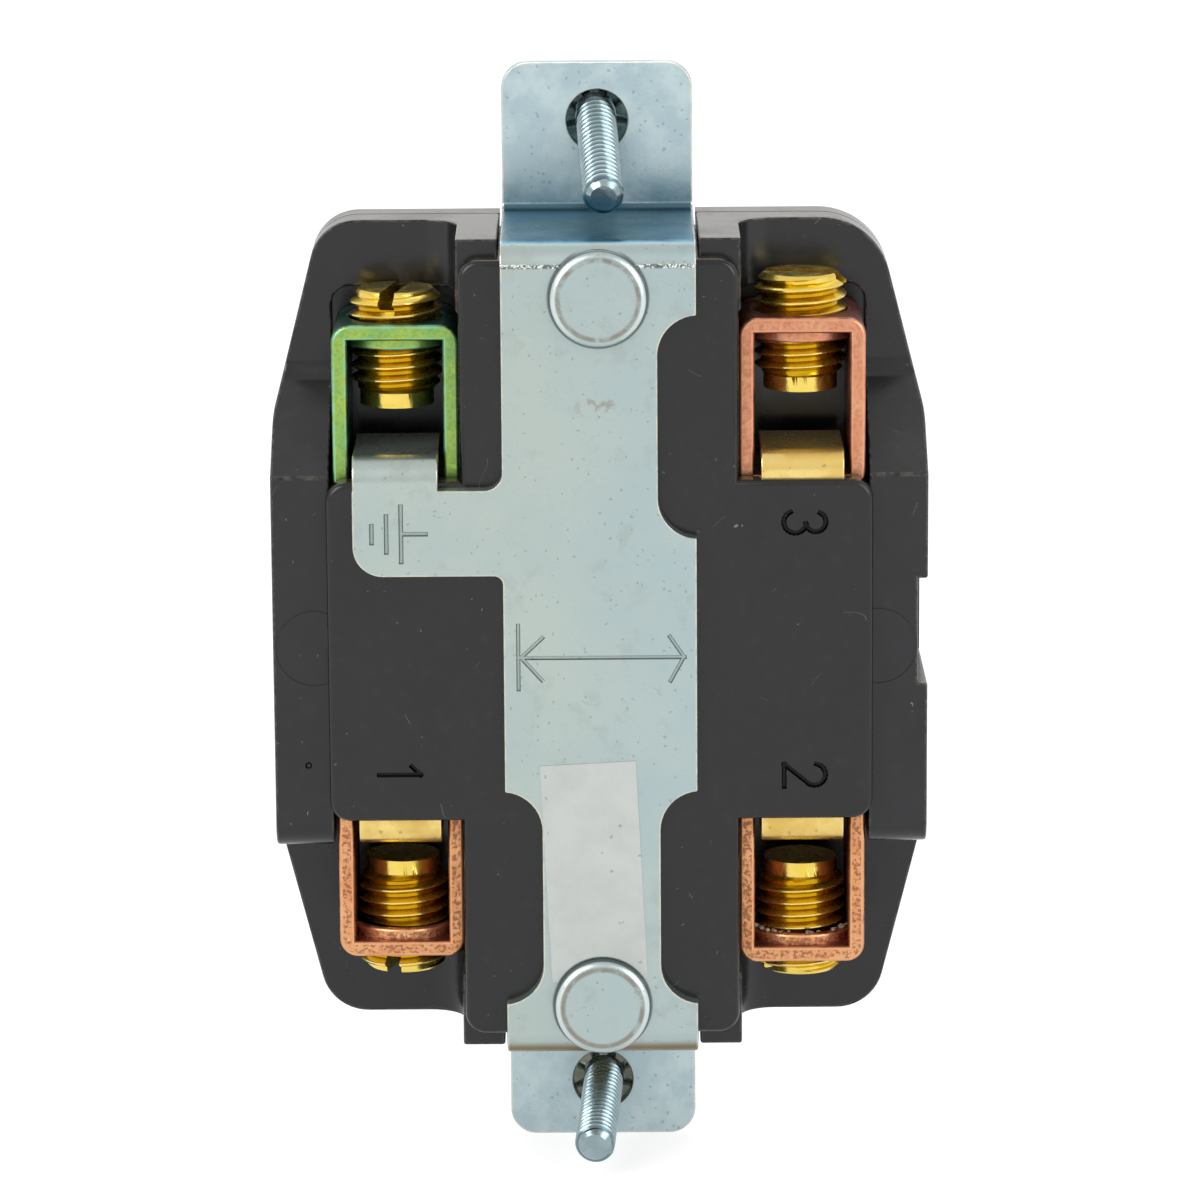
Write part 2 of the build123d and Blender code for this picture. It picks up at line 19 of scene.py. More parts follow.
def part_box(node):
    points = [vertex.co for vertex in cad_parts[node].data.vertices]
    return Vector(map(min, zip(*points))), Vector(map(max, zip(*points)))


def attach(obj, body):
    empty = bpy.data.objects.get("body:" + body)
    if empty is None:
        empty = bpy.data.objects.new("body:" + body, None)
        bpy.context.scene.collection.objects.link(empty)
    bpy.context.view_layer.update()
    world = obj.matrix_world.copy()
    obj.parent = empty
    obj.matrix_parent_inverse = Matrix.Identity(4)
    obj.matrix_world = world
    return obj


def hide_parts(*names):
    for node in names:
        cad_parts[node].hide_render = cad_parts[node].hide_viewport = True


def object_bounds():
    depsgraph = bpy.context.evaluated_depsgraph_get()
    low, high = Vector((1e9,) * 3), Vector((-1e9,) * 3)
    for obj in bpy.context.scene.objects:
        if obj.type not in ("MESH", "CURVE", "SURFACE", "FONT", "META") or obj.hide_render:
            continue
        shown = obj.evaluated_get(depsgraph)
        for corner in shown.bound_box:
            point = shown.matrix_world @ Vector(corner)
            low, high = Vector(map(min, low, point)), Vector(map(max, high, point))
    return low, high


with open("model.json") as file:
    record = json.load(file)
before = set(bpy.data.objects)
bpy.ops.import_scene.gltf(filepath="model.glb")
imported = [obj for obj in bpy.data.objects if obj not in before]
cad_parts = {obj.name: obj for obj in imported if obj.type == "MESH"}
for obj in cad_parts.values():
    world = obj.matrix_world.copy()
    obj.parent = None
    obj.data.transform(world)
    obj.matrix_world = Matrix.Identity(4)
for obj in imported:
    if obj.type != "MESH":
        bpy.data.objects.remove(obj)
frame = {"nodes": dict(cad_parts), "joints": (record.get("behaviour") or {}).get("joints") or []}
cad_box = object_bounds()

MM = 0.001
NODES = frame["nodes"]
HOUSING = "housing_body"
print("nodes:", len(NODES), "size in mm:", [round(x / MM, 1) for x in cad_box[1] - cad_box[0]])

# %% [markdown]
# ## The camera
#
# The photograph looks square at the wiring side from a little above. The picture's straight lines
# were fitted to a lens of 183 mm on a 36 mm wide sensor, half a metre away, and leaning by less
# than half a degree. A long lens keeps the near and far ends almost the same size.

# %% Camera
EYE_DISTANCE = 516.3 * MM
EYE_HEIGHT = math.radians(12.655)
EYE_LEAN = math.radians(-0.384)
AIM = Vector((0, 0, 0.7)) * MM
SENSOR = 36
LENS = 182.7
NEAREST = 10 * MM

view_lens = bpy.data.cameras.new("photo_view")
view_lens.sensor_width = SENSOR
view_lens.lens = LENS
view_lens.clip_start = NEAREST
camera = bpy.data.objects.new("photo_view", view_lens)
bpy.context.scene.collection.objects.link(camera)
camera.location = Vector((0, -math.cos(EYE_HEIGHT), math.sin(EYE_HEIGHT))) * EYE_DISTANCE
aimed = (AIM - camera.location).to_track_quat("-Z", "Y").to_matrix().to_4x4()
camera.matrix_world = Matrix.Translation(camera.location) @ aimed @ Matrix.Rotation(EYE_LEAN, 4, "Z")
bpy.context.scene.camera = camera
bpy.context.scene.view_settings.view_transform = "Standard"
print("camera at", [round(x / MM, 1) for x in camera.location])

# %% [markdown]
# ## Small helpers for nodes
#
# A finish is a tree of nodes. Written out one call at a time it is long, so one helper adds a
# node, sets its inputs by name, and makes a link wherever the value is another node's output.

# %% Node helpers
def add(tree, kind, values=None, **settings):
    """A node of that kind in a tree, with its settings, and its inputs set or linked."""
    made = tree.nodes.new("ShaderNode" + kind)
    for key, value in settings.items():
        setattr(made, key, value)
    for key, value in (values or {}).items():
        socket = made.inputs[key]
        if isinstance(value, bpy.types.NodeSocket):
            tree.links.new(value, socket)
        else:
            socket.default_value = value
    return made


def reckon(tree, what, first, second=0.0):
    """A sum on one or two values, such as ABSOLUTE or LESS_THAN."""
    return add(tree, "Math", {0: first, 1: second}, operation=what).outputs[0]


def times(tree, first, second):
    """Two values multiplied."""
    return reckon(tree, "MULTIPLY", first, second)


def mixed(tree, share, first, second):
    """Two colours mixed by a mask."""
    return add(tree, "Mix", {0: share, 6: first, 7: second}, data_type="RGBA").outputs[2]


def tint(tree, colour, other, mask, share):
    """A colour with another laid over it where the mask says, at most by that share."""
    return mixed(tree, times(tree, mask, share), colour, other)


def ramp(tree, value, low, high, start=0.0, end=1.0):
    """A value stretched so that low gives start and high gives end, smoothly and no further."""
    values = {"Value": value, "From Min": low, "From Max": high, "To Min": start, "To Max": end}
    return add(tree, "MapRange", values, interpolation_type="SMOOTHSTEP").outputs[0]


def rgb(red, green, blue):
    """A colour in plain 0 to 255 numbers, as shader values."""
    shares = [x / 255 for x in (red, green, blue)]
    return tuple(x / 12.92 if x <= 0.04045 else ((x + 0.055) / 1.055) ** 2.4 for x in shares) + (1.0,)


# %% [markdown]
# ## Floor, background and light
#
# The photograph has a pure white ground and light from all round, as in a tent of white cloth.
# The world gives that light. Light Path makes it plain white for what the camera and the
# reflections see. Three large lamps give the surfaces some shape, and a pale floor, just under
# the strap's lower end, keeps the shadow.

# %% World and floor
WHITE = (1, 1, 1, 1)
SKY = (0.93, 0.96, 1.0, 1.0)
SKY_POWER = 0.6
FLOOR_SHADE = (0.55, 0.55, 0.55, 1)
FLOOR_GLOW = 0.7
FLOOR_HALF = 4.0
FLOOR_Z = cad_box[0].z - 0.05 * MM

studio = bpy.data.worlds.new("studio")
studio.use_nodes = True
bpy.context.scene.world = studio
tree = studio.node_tree
tree.nodes.clear()
path = add(tree, "LightPath")
seen = reckon(tree, "MAXIMUM", path.outputs["Is Camera Ray"], path.outputs["Is Glossy Ray"])
seen = reckon(tree, "MAXIMUM", seen, path.outputs["Is Transmission Ray"])
soft_light = add(tree, "Background", {"Color": SKY, "Strength": SKY_POWER}).outputs[0]
white = add(tree, "Background", {"Color": WHITE, "Strength": 1.0}).outputs[0]
chosen = add(tree, "MixShader", {0: seen, 1: soft_light, 2: white}).outputs[0]
add(tree, "OutputWorld", {"Surface": chosen})

floor_finish = bpy.data.materials.new("pale_floor")
floor_finish.use_nodes = True
tree = floor_finish.node_tree
tree.nodes.clear()
path = add(tree, "LightPath")
seen = reckon(tree, "MAXIMUM", path.outputs["Is Camera Ray"], path.outputs["Is Glossy Ray"])
glow_power = times(tree, seen, FLOOR_GLOW)
glow = add(tree, "Emission", {"Color": WHITE, "Strength": glow_power}).outputs[0]
dull = add(tree, "BsdfDiffuse", {"Color": FLOOR_SHADE}).outputs[0]
both = add(tree, "AddShader", {0: dull, 1: glow}).outputs[0]
add(tree, "OutputMaterial", {"Surface": both})

sheet = bmesh.new()
bmesh.ops.create_grid(sheet, x_segments=1, y_segments=1, size=FLOOR_HALF)
bmesh.ops.translate(sheet, verts=sheet.verts, vec=(0, 0, FLOOR_Z))
floor_mesh = bpy.data.meshes.new("floor")
sheet.to_mesh(floor_mesh)
sheet.free()
floor_mesh.materials.append(floor_finish)
floor = bpy.data.objects.new("floor", floor_mesh)
bpy.context.scene.collection.objects.link(floor)
print("floor at", round(FLOOR_Z / MM, 2), "mm")

# %% Lamps
LAMP_WIDTH = 420 * MM
LAMPS = {
    "key_left": ((-420, -460, 380), 2.6),
    "fill_right": ((460, -420, 260), 1.7),
    "top_back": ((0, 420, 430), 0.9),
}
for name, (place, power) in LAMPS.items():
    light = bpy.data.lights.new(name, "AREA")
    light.size = LAMP_WIDTH
    light.energy = power
    lamp = bpy.data.objects.new(name, light)
    bpy.context.scene.collection.objects.link(lamp)
    lamp.location = Vector(place) * MM
    lamp.rotation_euler = (-lamp.location).to_track_quat("-Z", "Y").to_euler()
print("lamps:", ", ".join(LAMPS))

# %% [markdown]
# ## Shared effects
#
# Dust, hairline scratches, mottling and worn edges turn up in several finishes. Each is a node
# group, built once, that gives back only a mask. The finish decides what the mask does. Patterns
# read Object coordinates, so they stay on the piece as it moves.

# %% Effect groups
def effect(name, knobs):
    """A node group with number inputs and a mask output: the group, its inputs and its output node."""
    group = bpy.data.node_groups.new(name, "ShaderNodeTree")
    for label, value in knobs.items():
        socket = group.interface.new_socket(name=label, in_out="INPUT", socket_type="NodeSocketFloat")
        socket.default_value = value
    group.interface.new_socket(name="Mask", in_out="OUTPUT", socket_type="NodeSocketFloat")
    given = group.nodes.new("NodeGroupInput").outputs
    return group, given, group.nodes.new("NodeGroupOutput")


def place_in(tree, group, **knobs):
    """The mask of an effect group, placed in a finish with its own values."""
    made = add(tree, "Group", node_tree=group)
    for label, value in knobs.items():
        made.inputs[label.replace("_", " ")].default_value = value
    return made.outputs["Mask"]


mottle, given, result = effect("mottle", {"Scale": 300.0, "Low": 0.4, "High": 0.6})
coords = add(mottle, "TexCoord").outputs["Object"]
fine_noise = {"Vector": coords, "Scale": given["Scale"], "Detail": 5.0, "Roughness": 0.6}
cloud = add(mottle, "TexNoise", fine_noise)
mottle.links.new(ramp(mottle, cloud.outputs[0], given["Low"], given["High"]), result.inputs[0])

dust, given, result = effect("dust", {"Scale": 900.0, "Size": 0.25, "Share": 0.1})
coords = add(dust, "TexCoord").outputs["Object"]
wobble = add(dust, "TexNoise", {"Vector": coords, "Scale": times(dust, given["Scale"], 2.5)})
halves = (0.5, 0.5, 0.5)
wobble = add(dust, "VectorMath", {0: wobble.outputs[1], 1: halves}, operation="SUBTRACT").outputs[0]
reach = reckon(dust, "DIVIDE", 0.9, given["Scale"])
wobble = add(dust, "VectorMath", {0: wobble, 3: reach}, operation="SCALE").outputs[0]
coords = add(dust, "VectorMath", {0: coords, 1: wobble}, operation="ADD").outputs[0]
cells = add(dust, "TexVoronoi", {"Vector": coords, "Scale": given["Scale"]})
near = reckon(dust, "LESS_THAN", cells.outputs["Distance"], given["Size"])
lucky = add(dust, "SeparateColor", {0: cells.outputs["Color"]}).outputs[0]
chosen = reckon(dust, "LESS_THAN", lucky, given["Share"])
dust.links.new(times(dust, near, chosen), result.inputs[0])

hairlines, given, result = effect("hairlines", {"Scale": 120.0, "Width": 0.004, "Share": 0.4})
coords = add(hairlines, "TexCoord").outputs["Object"]
field = add(hairlines, "TexNoise", {"Vector": coords, "Scale": given["Scale"], "Detail": 1.0})
off = reckon(hairlines, "ABSOLUTE", reckon(hairlines, "SUBTRACT", field.outputs[0], 0.5))
line = reckon(hairlines, "LESS_THAN", off, given["Width"])
moved = add(hairlines, "VectorMath", {0: coords, 1: (0.31, 0.17, 0.23)}, operation="ADD").outputs[0]
patch_scale = times(hairlines, given["Scale"], 1.7)
patch = add(hairlines, "TexNoise", {"Vector": moved, "Scale": patch_scale})
shown = reckon(hairlines, "LESS_THAN", patch.outputs[0], given["Share"])
hairlines.links.new(times(hairlines, line, shown), result.inputs[0])

worn_edge, given, result = effect("worn_edge", {"Scale": 700.0, "Low": 0.35, "High": 0.6})
rounded = add(worn_edge, "Attribute", attribute_name="edge").outputs["Fac"]
coords = add(worn_edge, "TexCoord").outputs["Object"]
patches = add(worn_edge, "TexNoise", {"Vector": coords, "Scale": given["Scale"], "Detail": 4.0})
patchy = ramp(worn_edge, patches.outputs[0], given["Low"], given["High"])
worn_edge.links.new(times(worn_edge, rounded, patchy), result.inputs[0])
print("effects:", ", ".join(g.name for g in bpy.data.node_groups))

# %% [markdown]
# ## Finishes
#
# Each finish starts as one Principled shader. The helper hands back the tree, the shader, and the
# object coordinates split into X, Y and Z, so that a finish can change along the part, as the
# plating does between the flat strap, its ears and its risers.

# %% Starting a finish
def finish(name, **shader_values):
    """A new material: its tree, its Principled shader, and the Object coordinates in metres."""
    material = bpy.data.materials.new(name)
    material.use_nodes = True
    tree = material.node_tree
    tree.nodes.clear()
    shader = add(tree, "BsdfPrincipled", {k.replace("_", " "): v for k, v in shader_values.items()})
    add(tree, "OutputMaterial", {"Surface": shader.outputs[0]})
    coords = add(tree, "TexCoord").outputs["Object"]
    xyz = add(tree, "SeparateXYZ", {0: coords}).outputs
    return material, tree, shader, coords, xyz


def set_colour(tree, shader, colour):
    """Base Color from a colour that changes over the surface."""
    tree.links.new(colour, shader.inputs["Base Color"])


def set_rough(tree, shader, value, low, high):
    """Roughness that follows a mask from low to high."""
    tree.links.new(ramp(tree, value, 0.0, 1.0, low, high), shader.inputs["Roughness"])


def set_bump(tree, shader, height, strength, distance):
    """Small relief from a height, with its depth in millimetres."""
    bump = add(tree, "Bump", {"Height": height, "Strength": strength, "Distance": distance * MM})
    tree.links.new(bump.outputs[0], shader.inputs["Normal"])


# %% [markdown]
# ### Bright zinc plate
#
# The strap, the rivets and the long screws are zinc plated. The plate is pale and slightly blue,
# bluer on the ears. A painted reflection makes it a little warmer on the left, a deep blue-green
# on the riser that faces up and a darker blue on the ears near their bend, and painted shade
# makes the bend that faces down tan. Small dark flecks and scratches break it up, and the upper
# bend shows a narrow band of grains where the plate was stretched, with painted glints.

# %% Zinc plate
RIVET_Z = 29.7
RIVET_R = 4.05


def ring_mask(tree, xyz, inner, outer, soft):
    """A mask that is 1 between two radii round either rivet, in millimetres."""
    up = reckon(tree, "SUBTRACT", reckon(tree, "ABSOLUTE", xyz["Z"]), RIVET_Z * MM)
    across = times(tree, xyz["X"], xyz["X"])
    far = reckon(tree, "SQRT", reckon(tree, "ADD", across, times(tree, up, up)))
    within = ramp(tree, far, (outer + soft) * MM, outer * MM)
    return times(tree, within, ramp(tree, far, (inner - soft) * MM, inner * MM))


def zinc_base(tree, xyz):
    """The plate's colour on a flat face, with a painted reflection that is warm on the left and blue on
    the right, and its clouds.
    """
    # A painted reflection: warmer on the left, bluer on the right.
    side = ramp(tree, xyz["X"], -10 * MM, 9 * MM)
    clouds = place_in(tree, mottle, Scale=130.0, Low=0.3, High=0.7)
    share = reckon(tree, "ADD", times(tree, side, 0.55), times(tree, clouds, 0.45))
    colour = mixed(tree, share, rgb(169, 179, 172), rgb(161, 178, 179))
    stain = place_in(tree, mottle, Scale=420.0, Low=0.54, High=0.68)
    colour = tint(tree, colour, rgb(150, 158, 150), stain, 0.3)
    flecks = place_in(tree, dust, Scale=2300.0, Size=0.24, Share=0.14)
    colour = tint(tree, colour, rgb(104, 106, 96), flecks, 0.4)
    lines = place_in(tree, hairlines, Scale=260.0, Width=0.0016, Share=0.4)
    return tint(tree, colour, rgb(112, 118, 116), lines, 0.3), clouds


print("zinc plate: base colour and ring mask ready")

# %% [markdown]
# The strap's finish starts from that base. Its ears lie nearer the plug face, so Y tells them
# from the flat strap. The risers and the underside of the bends are told by the way they face,
# and get their painted reflection and painted shade from it.

# %% Ears, risers and bends
BEND_LINE = 32.3
STRAP_RISER = 34.2
STRAP_END = 45.6

plated, tree, shader, coords, xyz = finish("bright_plate", Metallic=0.86)
colour, clouds = zinc_base(tree, xyz)
high = reckon(tree, "ABSOLUTE", xyz["Z"])
on_ear = ramp(tree, xyz["Y"], -2.2 * MM, -0.6 * MM)
blotch = place_in(tree, mottle, Scale=260.0, Low=0.4, High=0.64)
ear_colour = mixed(tree, blotch, rgb(164, 184, 189), rgb(184, 200, 202))
ear_flecks = place_in(tree, dust, Scale=2000.0, Size=0.26, Share=0.2)
ear_colour = tint(tree, ear_colour, rgb(92, 112, 118), ear_flecks, 0.4)
# Near their bend the ears get a painted reflection, a darker blue.
near_bend = ramp(tree, high, (STRAP_RISER + 3.4) * MM, STRAP_RISER * MM)
near_bend = times(tree, near_bend, place_in(tree, mottle, Scale=330.0, Low=0.3, High=0.62))
ear_colour = tint(tree, ear_colour, rgb(96, 134, 150), near_bend, 0.75)
colour = mixed(tree, on_ear, colour, ear_colour)
# The riser that faces up gets a painted reflection in deep blue-green.
facing = add(tree, "NewGeometry").outputs["Normal"]
facing_up = add(tree, "SeparateXYZ", {0: facing}).outputs["Z"]
outward = times(tree, facing_up, reckon(tree, "SIGN", xyz["Z"]))
not_end = ramp(tree, high, STRAP_END * MM, (STRAP_END - 0.7) * MM)
on_riser = times(tree, ramp(tree, outward, 0.86, 0.97), ramp(tree, high, 33.0 * MM, 33.9 * MM))
on_riser = times(tree, on_riser, not_end)
streaks = place_in(tree, mottle, Scale=300.0, Low=0.32, High=0.66)
deep = mixed(tree, streaks, rgb(24, 90, 122), rgb(74, 128, 144))
deep = mixed(tree, ramp(tree, xyz["Y"], -15 * MM, -3 * MM), deep, rgb(50, 110, 134))
colour = mixed(tree, on_riser, colour, deep)
# The bend that faces down gets painted shade in tan.
under = times(tree, ramp(tree, facing_up, -0.3, -0.75), ramp(tree, high, 32.2 * MM, 33.2 * MM))
under = times(tree, under, not_end)
colour = mixed(tree, under, colour, rgb(112, 96, 62))

# %% [markdown]
# Along the upper bend the plate was stretched, and shows as a dark line of bright grains, which
# are painted glints. A soft tan stain lies below the top rivet, painted shade darkens the plate
# round both rivets and in the inner bends, and the rounded edges are rubbed pale, partly as a
# painted highlight.

# %% Grains, stain, painted shade and rims
# A darker band along the upper bend, with bright grains that are painted glints.
off_bend = reckon(tree, "ABSOLUTE", reckon(tree, "SUBTRACT", xyz["Z"], BEND_LINE * MM))
on_flat = ramp(tree, xyz["Y"], -16.8 * MM, -17.2 * MM)
at_bend = times(tree, ramp(tree, off_bend, 0.24 * MM, 0.1 * MM), on_flat)
grains = place_in(tree, mottle, Scale=5200.0, Low=0.5, High=0.58)
sparkle = times(tree, at_bend, grains)
colour = tint(tree, colour, rgb(74, 82, 80), at_bend, 0.8)
colour = mixed(tree, sparkle, colour, rgb(226, 228, 220))
to_stain = (0, 18 * MM, -20.8 * MM)
from_stain = add(tree, "VectorMath", {0: coords, 1: to_stain}, operation="ADD").outputs[0]
squeeze = (1.0, 1.0, 1.9)
from_stain = add(tree, "VectorMath", {0: from_stain, 1: squeeze}, operation="MULTIPLY").outputs[0]
stain_far = add(tree, "VectorMath", {0: from_stain}, operation="LENGTH").outputs["Value"]
stain_patches = place_in(tree, mottle, Scale=900.0, Low=0.5, High=0.6)
stained = times(tree, ramp(tree, stain_far, 2.7 * MM, 0.8 * MM), stain_patches)
colour = tint(tree, colour, rgb(134, 122, 104), stained, 0.55)
# Painted shade, a deep blue, in the inner corner of the bend at each ear.
in_corner = times(
    tree, ramp(tree, xyz["Y"], -0.75 * MM, -0.55 * MM), ramp(tree, xyz["Y"], 0.0, -0.04 * MM),
)
inner = ramp(tree, high, 35.2 * MM, 34.9 * MM)
colour = tint(tree, colour, rgb(70, 98, 110), in_corner, inner)
# Painted shade: a thin dark ring round each rivet on the strap's back.
rivet_contact_shade = times(tree, ring_mask(tree, xyz, RIVET_R, RIVET_R + 0.05, 0.12), 0.6)
rivet_contact_shade = times(tree, rivet_contact_shade, ramp(tree, xyz["Y"], -17.4 * MM, -17.8 * MM))
colour = mixed(tree, rivet_contact_shade, colour, rgb(58, 66, 68))
# The pale rubbed edges are partly worn plate and partly a painted highlight.
rim = place_in(tree, worn_edge, Scale=900.0, Low=0.3, High=0.62)
colour = tint(tree, colour, rgb(214, 208, 184), rim, 0.6)
# Painted shade in the stamped marks.
in_mark = add(tree, "Attribute", attribute_name="sunk").outputs["Fac"]
colour = tint(tree, colour, rgb(104, 110, 106), in_mark, 0.3)
set_colour(tree, shader, colour)
set_rough(tree, shader, clouds, 0.24, 0.38)
fine = place_in(tree, mottle, Scale=1900.0, Low=0.2, High=0.8)
height = reckon(tree, "ADD", times(tree, fine, 0.4), times(tree, sparkle, 1.5))
set_bump(tree, shader, height, 0.35, 0.03)
print("strap finish:", len(tree.nodes), "nodes")

# %% [markdown]
# The rivets' heads are of the same plate. The set that formed them left a rim. A tan ring of
# painted shade lies where it meets the flat top, a painted highlight lies on its round side,
# strongest to the left and right, and a dark ring of painted shade runs round the head's edge.

# %% Rivet finish
rivet_plate, tree, shader, coords, xyz = finish("rivet_plate", Metallic=0.9)
colour, clouds = zinc_base(tree, xyz)
uneven = place_in(tree, mottle, Scale=700.0, Low=0.3, High=0.62)
# Painted shade: a tan ring where the rim meets the flat top.
flat_rim = ring_mask(tree, xyz, 3.2, 3.36, 0.22)
colour = tint(tree, colour, rgb(126, 118, 104), flat_rim, ramp(tree, uneven, 0.0, 1.0, 0.1, 0.8))
# Painted highlight on the rim's round side, strongest to the left and right.
round_side_highlight = ring_mask(tree, xyz, 3.6, 3.8, 0.16)
beside = ramp(tree, reckon(tree, "ABSOLUTE", xyz["X"]), 1.2 * MM, 3.4 * MM, 0.1, 0.75)
colour = tint(tree, colour, rgb(206, 213, 212), round_side_highlight, beside)
# Painted shade: a dark ring round the head's outer edge.
colour = tint(tree, colour, rgb(84, 92, 92), ring_mask(tree, xyz, 3.95, 4.3, 0.1), 0.85)
set_colour(tree, shader, colour)
set_rough(tree, shader, clouds, 0.2, 0.34)
fine = place_in(tree, mottle, Scale=1700.0, Low=0.2, High=0.8)
set_bump(tree, shader, fine, 0.3, 0.03)
print("rivet finish:", len(tree.nodes), "nodes")

# %% [markdown]
# ### Black moulding
#
# The housing is a hard black moulding with a low sheen. Light dust lies on it, fine hairs of
# scratches cross it, and its rounded edges are rubbed a brownish grey.

# %% Black moulding
def moulded(name, seam, darker, lighter):
    """Black moulding in two shades. The seam is how pale the dust along its edges is, from 0 to 1."""
    material, tree, shader, coords, xyz = finish(name, Metallic=0.0, IOR=1.45)
    clouds = place_in(tree, mottle, Scale=140.0, Low=0.35, High=0.7)
    colour = mixed(tree, clouds, darker, lighter)
    bloom = place_in(tree, mottle, Scale=900.0, Low=0.5, High=0.75)
    colour = tint(tree, colour, rgb(40, 40, 40), bloom, 0.3)
    lines = place_in(tree, hairlines, Scale=150.0, Width=0.0022, Share=0.38)
    colour = tint(tree, colour, rgb(92, 90, 88), lines, 0.5)
    specks = place_in(tree, dust, Scale=620.0, Size=0.07, Share=0.06)
    colour = tint(tree, colour, rgb(150, 148, 142), specks, 0.5)
    fine = place_in(tree, dust, Scale=2100.0, Size=0.17, Share=0.025)
    colour = tint(tree, colour, rgb(130, 128, 124), fine, 0.35)
    facing = add(tree, "NewGeometry").outputs["Normal"]
    facing_up = add(tree, "SeparateXYZ", {0: facing}).outputs["Z"]
    level = ramp(tree, facing_up, 0.8, 1.0)
    colour = tint(tree, colour, rgb(132, 118, 84), level, ramp(tree, bloom, 0.0, 1.0, 0.15, 0.4))
    rim = place_in(tree, worn_edge, Scale=1300.0, Low=0.36, High=0.62)
    colour = tint(tree, colour, rgb(150, 140, 126), rim, seam)
    set_colour(tree, shader, colour)
    set_rough(tree, shader, clouds, 0.18, 0.3)
    # Painted shade in the moulded marks, by raising Metallic over the dark colour.
    in_mark = add(tree, "Attribute", attribute_name="sunk").outputs["Fac"]
    tree.links.new(times(tree, in_mark, 0.7), shader.inputs["Metallic"])
    grain = place_in(tree, mottle, Scale=2600.0, Low=0.2, High=0.8)
    height = reckon(tree, "SUBTRACT", times(tree, grain, 0.5), times(tree, lines, 0.5))
    set_bump(tree, shader, height, 0.22, 0.02)
    return material


black = moulded("black_moulding", 0.16, rgb(16, 16, 18), rgb(26, 26, 28))
black_cover = moulded("black_cover", 0.5, rgb(11, 11, 12), rgb(20, 20, 20))
print("mouldings:", black.name, black_cover.name)

# %% [markdown]
# ### Clamps, screws and brass
#
# One clamp has a green finish for the ground wire. The others are copper plated, pink on their
# cut edges. On all of them the faces turned away from the wiring side are painted in shade,
# blue-green on the green clamp, and dark inside. The screws are plated a glossy yellow, with
# painted shade down in the thread and a paler painted highlight on the crests. An attribute
# called valley, written on the thread's own points, says how deep each one lies.

# %% Clamp finishes
def plated_clamp(name, face, tinge, side, dark, edge, grain):
    """A plated clamp: faces turned to the wiring side and their tint, sides in painted shade, a dark for
    grains and deeper painted shade, rims, and how grainy it is.
    """
    material, tree, shader, coords, xyz = finish(name, Metallic=0.75)
    clouds = place_in(tree, mottle, Scale=420.0, Low=0.3, High=0.7)
    facing = add(tree, "NewGeometry").outputs["Normal"]
    split = add(tree, "SeparateXYZ", {0: facing}).outputs
    # Faces turned to the wiring side get the bright colours; the others get the side and dark colours, a
    # painted shade.
    forward = ramp(tree, times(tree, split["Y"], -1.0), 0.45, 0.85)
    bright = mixed(tree, clouds, face, tinge)
    grains = place_in(tree, mottle, Scale=2900.0, Low=0.46, High=0.6)
    sheared = reckon(tree, "SUBTRACT", 1.0, add(tree, "Attribute", attribute_name="edge").outputs["Fac"])
    pits = times(tree, times(tree, grains, grain), sheared)
    bright = mixed(tree, pits, bright, dark)
    colour = mixed(tree, forward, mixed(tree, clouds, side, dark), bright)
    pale = place_in(tree, dust, Scale=2600.0, Size=0.26, Share=0.08)
    colour = tint(tree, colour, rgb(236, 216, 196), pale, 0.5 * grain)
    rim = place_in(tree, worn_edge, Scale=900.0, Low=0.3, High=0.6)
    colour = tint(tree, colour, edge, rim, 0.45)
    set_colour(tree, shader, colour)
    set_rough(tree, shader, clouds, 0.26, 0.42)
    set_bump(tree, shader, pits, 0.3 + grain, 0.04)
    return material


green = plated_clamp(
    "green_plate", face=rgb(153, 180, 74), tinge=rgb(124, 168, 94), side=rgb(28, 86, 66),
    dark=rgb(8, 34, 22), edge=rgb(128, 196, 176), grain=0.18,
)
copper = plated_clamp(
    "copper_plate", face=rgb(212, 152, 116), tinge=rgb(200, 130, 98), side=rgb(142, 84, 72),
    dark=rgb(84, 38, 32), edge=rgb(226, 158, 122), grain=0.25,
)
rough_copper = plated_clamp(
    "grainy_copper_plate", face=rgb(216, 158, 110), tinge=rgb(203, 135, 90), side=rgb(150, 78, 66),
    dark=rgb(96, 44, 32), edge=rgb(230, 170, 122), grain=0.62,
)
print("clamp finishes:", green.name, copper.name, rough_copper.name)


# %% Screw and brass finishes
def threaded_finish(name, crest, flank, valley):
    """Plated thread, with a paler painted highlight on its crests and painted shade in its valleys."""
    material, tree, shader, coords, xyz = finish(name, Metallic=0.95)
    low = add(tree, "Attribute", attribute_name="valley").outputs["Fac"]
    clouds = place_in(tree, mottle, Scale=500.0, Low=0.3, High=0.7)
    # Painted highlight on the crests, painted shade down in the valleys.
    colour = mixed(tree, ramp(tree, low, 0.02, 0.45), crest, flank)
    colour = mixed(tree, ramp(tree, low, 0.55, 1.0), colour, valley)
    colour = tint(tree, colour, flank, clouds, 0.35)
    set_colour(tree, shader, colour)
    set_rough(tree, shader, clouds, 0.16, 0.3)
    nicks = place_in(tree, mottle, Scale=1500.0, Low=0.45, High=0.7)
    set_bump(tree, shader, nicks, 0.15, 0.04)
    return material


yellow = threaded_finish("yellow_plate", rgb(226, 200, 112), rgb(218, 184, 34), rgb(180, 136, 6))
bright_thread = threaded_finish(
    "bright_screw_plate", rgb(160, 176, 178), rgb(100, 122, 128), rgb(48, 70, 78),
)

